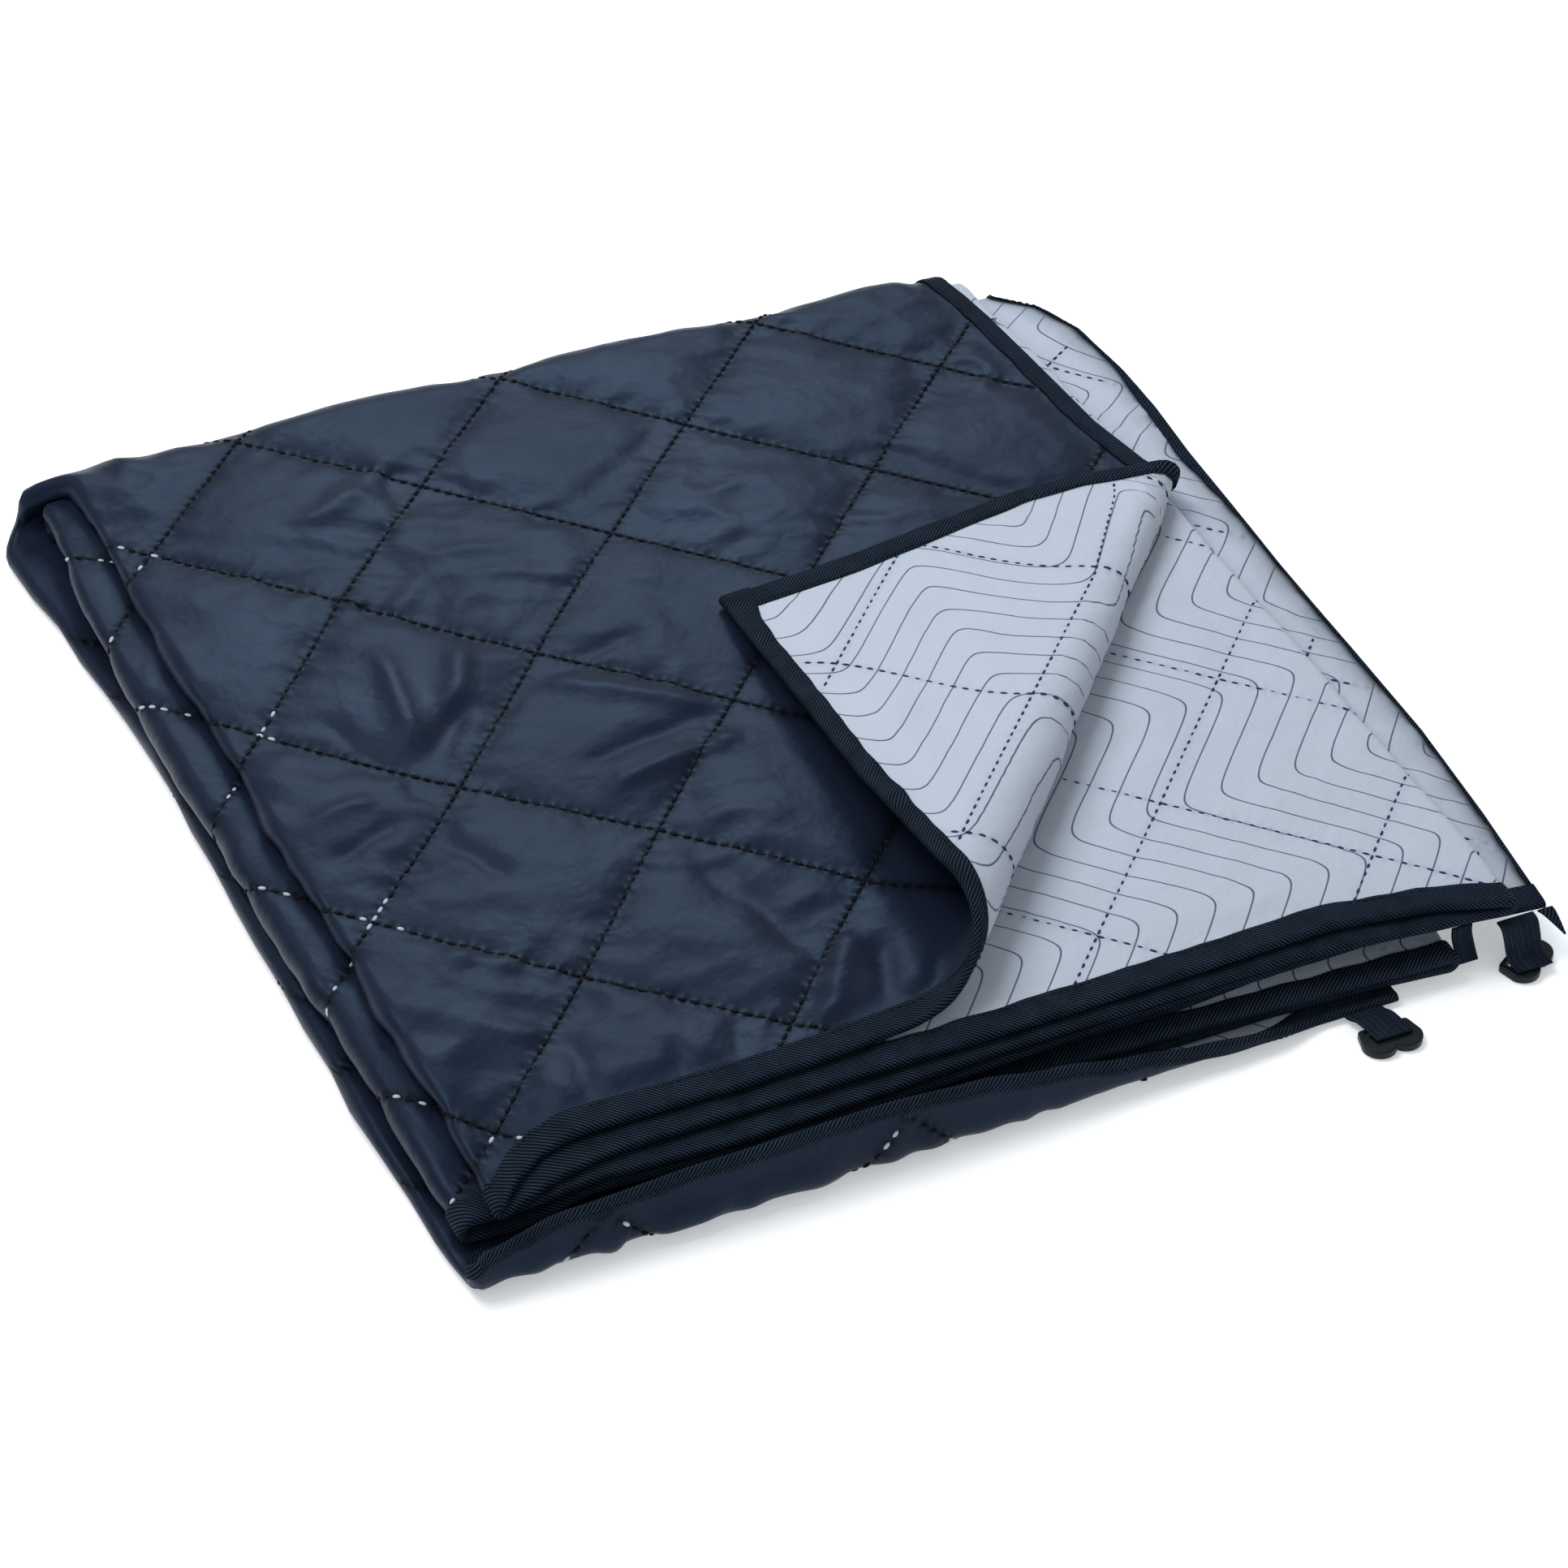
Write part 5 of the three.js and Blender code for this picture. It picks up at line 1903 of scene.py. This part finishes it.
@dataclass
class StitchRows:
    """Rows of stitches laid along lines by Geometry Nodes, in millimetres."""

    name: str
    pitch: float
    length: float
    radius: float
    pale_share: float = 0.0
    seed: int = 3
    flatness: float = 0.75
    shortest: float = 0.86
    longest: float = 1.1
    segments: int = 6
    rings: int = 4

    def sockets(self, tree: Tree) -> None:
        """Names the group's inputs and its output.

        Args:
            tree: the group.
        """
        kinds = {"Geometry": "Geometry", "Pitch": "Float", "Length": "Float", "Radius": "Float"}
        kinds |= {"Pale Share": "Float", "Seed": "Int", "Thread": "Material"}
        for title, kind in kinds.items():
            tree.interface.new_socket(title, in_out="INPUT", socket_type="NodeSocket" + kind)
        tree.interface.new_socket("Geometry", in_out="OUTPUT", socket_type="NodeSocketGeometry")

    def tree(self) -> Tree:
        """Builds the nodes that lay one short thread on each step of a line.

        Returns:
            The group.
        """
        tree = bpy.data.node_groups.new("lay_" + self.name, "GeometryNodeTree")
        self.sockets(tree)
        bench = Bench(tree)
        entry = bench.node("NodeGroupInput").outputs

        line = bench.node("GeometryNodeMeshToCurve", {"Mesh": entry["Geometry"]}).outputs["Curve"]
        stops = {"Curve": line, "Length": entry["Pitch"]}
        steps = bench.node("GeometryNodeResampleCurve", stops, mode="LENGTH").outputs["Curve"]
        chance = bench.chance({"Seed": entry["Seed"]})
        # stitches marked pale turn pale by chance: painted glints on the thread, and white wadding showing
        marked = bench.named_value(PALE, "FLOAT")
        pale = bench.math("LESS_THAN", chance, bench.math("MULTIPLY", marked, entry["Pale Share"]))
        stored = {"Geometry": steps, "Name": PALE, "Value": pale}
        points = bench.node("GeometryNodeStoreNamedAttribute", stored, data_type="FLOAT", domain="POINT")

        tangent = bench.node("GeometryNodeInputTangent").outputs[0]
        ahead = bench.node("FunctionNodeAlignRotationToVector", {"Vector": tangent}, axis="X").outputs[0]
        out = {"Rotation": ahead, "Vector": bench.named_value(LIE, "FLOAT_VECTOR")}
        upright = bench.node("FunctionNodeAlignRotationToVector", out, axis="Z", pivot_axis="X").outputs[0]

        later = bench.math("ADD", entry["Seed"], 1.0)
        vary = bench.chance({"Min": self.shortest, "Max": self.longest, "Seed": later})
        size = bench.node("ShaderNodeCombineXYZ", {
            "X": bench.math("MULTIPLY", bench.math("MULTIPLY", entry["Length"], vary), 0.5),
            "Y": entry["Radius"], "Z": bench.math("MULTIPLY", entry["Radius"], self.flatness),
        }).outputs[0]
        ball = {"Segments": self.segments, "Rings": self.rings, "Radius": 1.0}
        thread = bench.node("GeometryNodeMeshUVSphere", ball).outputs["Mesh"]
        laid = bench.node("GeometryNodeInstanceOnPoints", {
            "Points": points.outputs["Geometry"], "Instance": thread, "Rotation": upright, "Scale": size,
        }).outputs["Instances"]
        real = bench.node("GeometryNodeRealizeInstances", {"Geometry": laid}).outputs["Geometry"]
        dyed = bench.node("GeometryNodeSetMaterial", {"Geometry": real, "Material": entry["Thread"]})
        bench.node("NodeGroupOutput", {"Geometry": dyed.outputs["Geometry"]})
        return tree

    def lines(self, runs: list[SeamRun]) -> Piece:
        """Makes an object whose edges follow the runs.

        Args:
            runs: the lines to follow.

        Returns:
            The object.
        """
        mesh = bpy.data.meshes.new(self.name + "_lines")
        starts = np.cumsum([0] + [len(run.points) for run in runs])
        edges = [
            (int(start + k), int(start + k + 1))
            for start, run in zip(starts, runs) for k in range(len(run.points) - 1)
        ]
        mesh.from_pydata((np.concatenate([run.points for run in runs]) * MM).tolist(), edges, [])
        lie = mesh.attributes.new(LIE, "FLOAT_VECTOR", "POINT")
        lie.data.foreach_set("vector", np.concatenate([run.lie for run in runs]).ravel())
        pale = mesh.attributes.new(PALE, "FLOAT", "POINT")
        pale.data.foreach_set("value", np.concatenate([run.pale for run in runs]))
        return into_scene(self.name, mesh)

    def build(self, runs: list[SeamRun], thread: Material) -> Piece:
        """Lays the stitches and makes them a plain mesh.

        Args:
            runs: the lines to follow.
            thread: the stitches' material.

        Returns:
            The finished object.
        """
        made, tree = self.lines(runs), self.tree()
        laid = made.modifiers.new("lay_stitches", "NODES")
        laid.node_group = tree
        values = {
            "Pitch": self.pitch * MM, "Length": self.length * MM, "Radius": self.radius * MM,
            "Pale Share": self.pale_share, "Seed": self.seed, "Thread": thread,
        }
        for item in tree.interface.items_tree:
            if item.name in values:
                laid[item.identifier] = values[item.name]
        mesh = plain_mesh(made)
        made.modifiers.remove(laid)
        lines, made.data = made.data, mesh
        bpy.data.meshes.remove(lines)
        mesh.polygons.foreach_set("use_smooth", [True] * len(mesh.polygons))
        return made

    def dress(self, piece: Piece, slot: str) -> None:
        declare(piece, slot)


@dataclass
class Strap:
    """A flat strap along a line of bends, given forward, up and sideways from its start, in millimetres."""

    node: str
    slot: str
    start: tuple[float, float]
    line: tuple[Point, ...]
    widths: tuple[float, float]
    thickness: float = 1.5
    ribs: int = 0
    rib_height: float = 0.22
    step: float = 0.6
    fewest: int = 8
    bend_steps: int = 24
    rib_steps: int = 4
    edge_rate: float = 12.0
    edge_least: float = 0.35

    def path(self) -> Array:
        """Follows the line's bends smoothly.

        Returns:
            Points in even steps.
        """
        bends = np.array([(self.start[0] + s, self.start[1] - f, u) for f, u, s in self.line])
        ends = np.vstack([2 * bends[0] - bends[1], bends, 2 * bends[-1] - bends[-2]])
        t = np.linspace(0, 1, self.bend_steps, endpoint=False)[:, None]
        found = []
        for a, b, c, d in zip(ends, ends[1:], ends[2:], ends[3:]):
            square, cube = 2 * a - 5 * b + 4 * c - d, 3 * b - a - 3 * c + d
            found.append(0.5 * (2 * b + (c - a) * t + square * t**2 + cube * t**3))
        points = np.vstack([*found, bends[-1:]])
        run = run_along(points)
        even = np.linspace(0, run[-1], max(self.fewest, int(run[-1] / self.step)))
        return np.stack([np.interp(even, run, points[:, k]) for k in range(3)], axis=-1)

    def cut(self) -> Array:
        """Lists the strap's cut all the way round.

        Returns:
            Shares across its half width, and offsets as shares of its half thickness.
        """
        share = np.linspace(-1, 1, max(2, self.ribs) * self.rib_steps + 1)
        wave = np.abs(np.sin((share + 1) / 2 * math.pi * self.ribs)) if self.ribs else np.ones_like(share)
        edge = np.clip((1 - np.abs(share)) * self.edge_rate, self.edge_least, 1.0)
        lift = edge * (1 - self.rib_height * (1 - wave))
        return np.concatenate([np.stack([share, lift], -1), np.stack([share[::-1], -lift[::-1]], -1)])

    def build(self, material: Material) -> Piece:
        """Makes the strap's mesh.

        Args:
            material: its finish.

        Returns:
            The strap.
        """
        path = self.path()
        shares, lifts = self.cut().T
        side = np.array([1.0, 0.0, 0.0])
        normal = np.cross(side, np.gradient(path, axis=0))
        normal /= np.linalg.norm(normal, axis=1, keepdims=True)
        half = blend(self.widths[0], self.widths[1], np.linspace(0, 1, len(path))) / 2
        beside = half[:, None] * shares
        points = path[:, None] + side * beside[..., None]
        points = points + normal[:, None] * (lifts * self.thickness / 2)[:, None]
        flat = np.stack(np.broadcast_arrays(beside, run_along(path)[:, None]), axis=-1)
        draft = Draft("dressed_" + self.node)
        draft.tube(points, flat)
        return draft.make([material])

    def dress(self, piece: Piece) -> None:
        declare(piece, self.slot, self.node)


STRAPS = (
    Strap(
        "strap_front", "elastic", (163, -281.5),
        ((0, 2.6, 0), (3, 3.2, 0.3), (7, 4.9, 1.1), (11, 5.25, 1.8), (15, 5.15, 2.4), (21.5, 5.1, 3.4)),
        (19, 18), ribs=12,
    ),
    Strap(
        "strap_corner", "elastic", (243.5, -272.2),
        ((0, 22, 0), (4, 20.8, 0.2), (6.5, 16, 0.6), (8.5, 10.5, 1), (11, 6.6, 1.5), (17, 5.2, 2.8)),
        (19, 18), ribs=12,
    ),
    Strap(
        "strap_short", "elastic", (219.8, -266.9),
        ((0, 20.6, 0), (0.8, 16, 0), (3.5, 10, 0.6), (6.5, 4.6, 1.2)), (10.5, 10.5), ribs=7,
    ),
    Strap(
        "binding_loose_end", "binding_tape", (258.5, -272.8),
        ((0, 22.4, 0), (2.5, 21.6, 1), (6, 17.5, 3.6), (9, 12.5, 6.5)), (8, 0.8), thickness=1.4,
    ),
)


@dataclass
class Hook:
    """A moulded hook: a plate with two round lobes and a slot for its strap, in millimetres."""

    node: str
    place: tuple[float, float]
    turn: float
    lobe_radius: float = 8.2
    lobe_offset: float = 6.3
    lobe_steps: int = 18
    back_y: float = 9.0
    back_half: float = 12.5
    thickness: float = 4.0
    slot_half: float = 9.8
    slot_near: float = 4.4
    slot_far: float = 6.6
    rounding: float = 0.7
    rounding_steps: int = 3
    weld: float = 0.001

    def outline(self) -> Array:
        """Lists the plate's outline.

        Returns:
            Its points, round the two lobes and along the back.
        """
        notch = math.acos(self.lobe_offset / self.lobe_radius)
        left = np.linspace(math.pi, math.tau - notch, self.lobe_steps)
        right = np.linspace(math.pi + notch, math.tau, self.lobe_steps)[1:]
        lobes = [
            (middle + self.lobe_radius * math.cos(a), self.lobe_radius * math.sin(a))
            for middle, angles in ((-self.lobe_offset, left), (self.lobe_offset, right)) for a in angles
        ]
        back, corner = self.back_y, self.back_half
        bends = [(corner + 0.1, back - 1.6), (corner - 0.4, back - 0.5), (corner - 1.5, back)]
        return np.array(lobes + bends + [(-x, y) for x, y in reversed(bends)])

    def plate(self) -> Mesh:
        """Makes the plate with rounded edges.

        Returns:
            The plate's mesh, in metres, standing on the floor.
        """
        half, near, far = self.slot_half, self.slot_near, self.slot_far
        gap = np.array([(-half, near), (-half, far), (half, far), (half, near)])
        curve = bpy.data.curves.new(self.node + "_rim", "CURVE")
        curve.dimensions, curve.fill_mode = "2D", "BOTH"
        for rim in (self.outline(), gap):
            spline = curve.splines.new("POLY")
            spline.points.add(len(rim) - 1)
            spline.use_cyclic_u = True
            for point, (x, y) in zip(spline.points, rim * MM):
                point.co = (x, y, 0.0, 1.0)
        curve.bevel_depth = self.rounding * MM
        curve.bevel_resolution = self.rounding_steps
        curve.extrude = (self.thickness / 2 - self.rounding) * MM
        curve.offset = -self.rounding * MM
        drawn = into_scene(self.node + "_rim", curve)
        mesh = plain_mesh(drawn)
        bpy.data.objects.remove(drawn)
        bpy.data.curves.remove(curve)
        mesh.transform(Matrix.Translation((0, 0, self.thickness / 2 * MM)))
        return mesh

    def build(self, material: Material) -> Piece:
        """Makes the hook's mesh.

        Args:
            material: its finish.

        Returns:
            The hook.
        """
        mesh = self.plate()
        turn_outward(mesh, self.weld * MM)
        spot = Matrix.Translation((self.place[0] * MM, self.place[1] * MM, 0))
        mesh.transform(spot @ Matrix.Rotation(self.turn, 4, "Z"))
        mesh.materials.clear()
        mesh.materials.append(material)
        return into_scene("dressed_" + self.node, mesh)

    def dress(self, piece: Piece) -> None:
        declare(piece, "hook_plastic", self.node)


HOOKS = (
    Hook("hook_front", (165.5, -302), 0.0),
    Hook("hook_corner", (248, -281), math.radians(32)),
)


@dataclass(frozen=True)
class Lamp:
    """A square soft light that faces the bundle: its place and side in metres, its power in watts."""

    name: str
    place: Point
    size: float
    power: float
    colour: Colour
    aim: Point = (0.0, 0.0, 0.03)

    def hang(self) -> None:
        """Hangs the light in the scene."""
        light = bpy.data.lights.new(self.name, "AREA")
        light.size, light.energy, light.color = self.size, self.power, self.colour
        made = into_scene(self.name, light)
        made.location = self.place
        made.rotation_euler = (Vector(self.aim) - Vector(self.place)).to_track_quat("-Z", "Y").to_euler()


LAMPS = (
    Lamp("top", (-0.8, 0.45, 1.95), 1.1, 27.0, (1.0, 1.0, 1.0)),
    Lamp("back", (0.55, 1.6, 1.45), 0.9, 17.0, (0.64, 0.83, 1.0)),
    Lamp("front", (-0.6, -2.2, 1.3), 1.2, 7.0, (0.68, 0.88, 1.0)),
)


@dataclass
class Studio:
    """The floor, the lights and the camera, in metres."""

    azimuth: float = math.radians(-26.46)
    elevation: float = math.radians(39.28)
    roll: float = math.radians(2.16)
    distance: float = 2.203
    target: Point = (-0.0126, -0.060, 0.020)
    focal_pixels: float = 5996.0
    image_pixels: float = 1932.0
    sensor: float = 36.0
    clip: Span = (0.01, 50.0)
    floor_colour: Colour = (0.93, 0.935, 0.94)
    floor_reach: float = 8.0
    floor_drop: float = 0.0004
    floor_roughness: float = 0.9
    floor_glow: float = 0.35
    sky: Colour = (0.95, 0.97, 1.0)
    sky_strength: float = 0.42

    def floor(self) -> None:
        """Makes the pale floor, just under the part."""
        mesh = bpy.data.meshes.new("floor")
        signs = ((-1, -1), (1, -1), (1, 1), (-1, 1))
        corners = [(x * self.floor_reach, y * self.floor_reach, -self.floor_drop) for x, y in signs]
        mesh.from_pydata(corners, [], [(0, 1, 2, 3)])
        material, bench, shader = start_material("pale_floor")
        bench.fill(shader, {
            "Base Color": self.floor_colour, "Roughness": self.floor_roughness,
            "Emission Color": self.floor_colour, "Emission Strength": self.floor_glow,
        })
        mesh.materials.append(material)
        into_scene("floor", mesh)

    def lights(self) -> None:
        """Sets the soft studio light."""
        world = bpy.data.worlds.new("studio")
        world.use_nodes = True
        ground = world.node_tree.nodes["Background"]
        ground.inputs["Color"].default_value = (*self.sky, 1.0)
        ground.inputs["Strength"].default_value = self.sky_strength
        bpy.context.scene.world = world
        bpy.context.scene.view_settings.view_transform = "Standard"
        for lamp in LAMPS:
            lamp.hang()

    def camera(self) -> None:
        """Sets the camera to the photograph's angle."""
        az, el = self.azimuth, self.elevation
        back = Vector((math.sin(az) * math.cos(el), -math.cos(az) * math.cos(el), math.sin(el)))
        level = Vector((math.cos(az), math.sin(az), 0.0))
        up = back.cross(level)
        right = level * math.cos(self.roll) + up * math.sin(self.roll)
        top = up * math.cos(self.roll) - level * math.sin(self.roll)
        lens = bpy.data.cameras.new("camera")
        lens.sensor_width = self.sensor
        lens.lens = self.focal_pixels / self.image_pixels * self.sensor
        lens.clip_start, lens.clip_end = self.clip
        made = into_scene("camera", lens)
        turned = Matrix((right, top, back)).transposed().to_4x4()
        made.matrix_world = Matrix.Translation(Vector(self.target) + back * self.distance) @ turned
        bpy.context.scene.camera = made


def report(piece: Piece) -> Piece:
    """Logs a finished piece and hands it on."""
    LOG.info("%s: %d faces", piece.name, len(piece.data.polygons))
    return piece


def main() -> None:
    """Builds every piece in order."""
    logging.basicConfig(level=logging.INFO, format="%(message)s")
    plan, quilting = FoldPlan(), Quilting()
    faces = ClothFaces(plan, quilting)
    finishes = Finishes(quilting)
    studio = Studio()
    studio.camera()
    studio.floor()
    studio.lights()

    sheet = QuiltedSheet(plan, faces)
    cloth = report(sheet.build(finishes))
    trims: list[Piece] = []
    tape_runs: list[SeamRun] = []
    for edge in Edge:
        binding = Binding(plan, edge)
        piece = report(binding.build(finishes))
        binding.dress(piece)
        trims.append(piece)
        tape_runs.extend(binding.seam(face) for face in Face)
    finder = SeamFinder(plan, faces)
    rows = (
        (StitchRows("shell_stitches", quilting.stitch_pitch, 4.3, 1.05, pale_share=0.4),
         list(finder.runs(Face.SHELL)), finishes.shell_thread, "quilted_cloth"),
        (StitchRows("lining_stitches", quilting.stitch_pitch, 3.9, 0.72),
         list(finder.runs(Face.LINING)), finishes.lining_thread, "quilted_cloth"),
        (StitchRows("binding_stitches", 3.6, 2.7, 0.3), tape_runs, finishes.tape_thread, "binding_tape"),
    )
    for stitches, runs, thread, slot in rows:
        piece = report(stitches.build(runs, thread))
        stitches.dress(piece, slot)
        trims.append(piece)
    for strap in STRAPS:
        finish = finishes.tape if strap.slot == "binding_tape" else finishes.elastic
        strap.dress(report(strap.build(finish)))
    for hook in HOOKS:
        hook.dress(report(hook.build(finishes.plastic)))
    sheet.dress(cloth, trims)


if __name__ == "__main__":
    main()
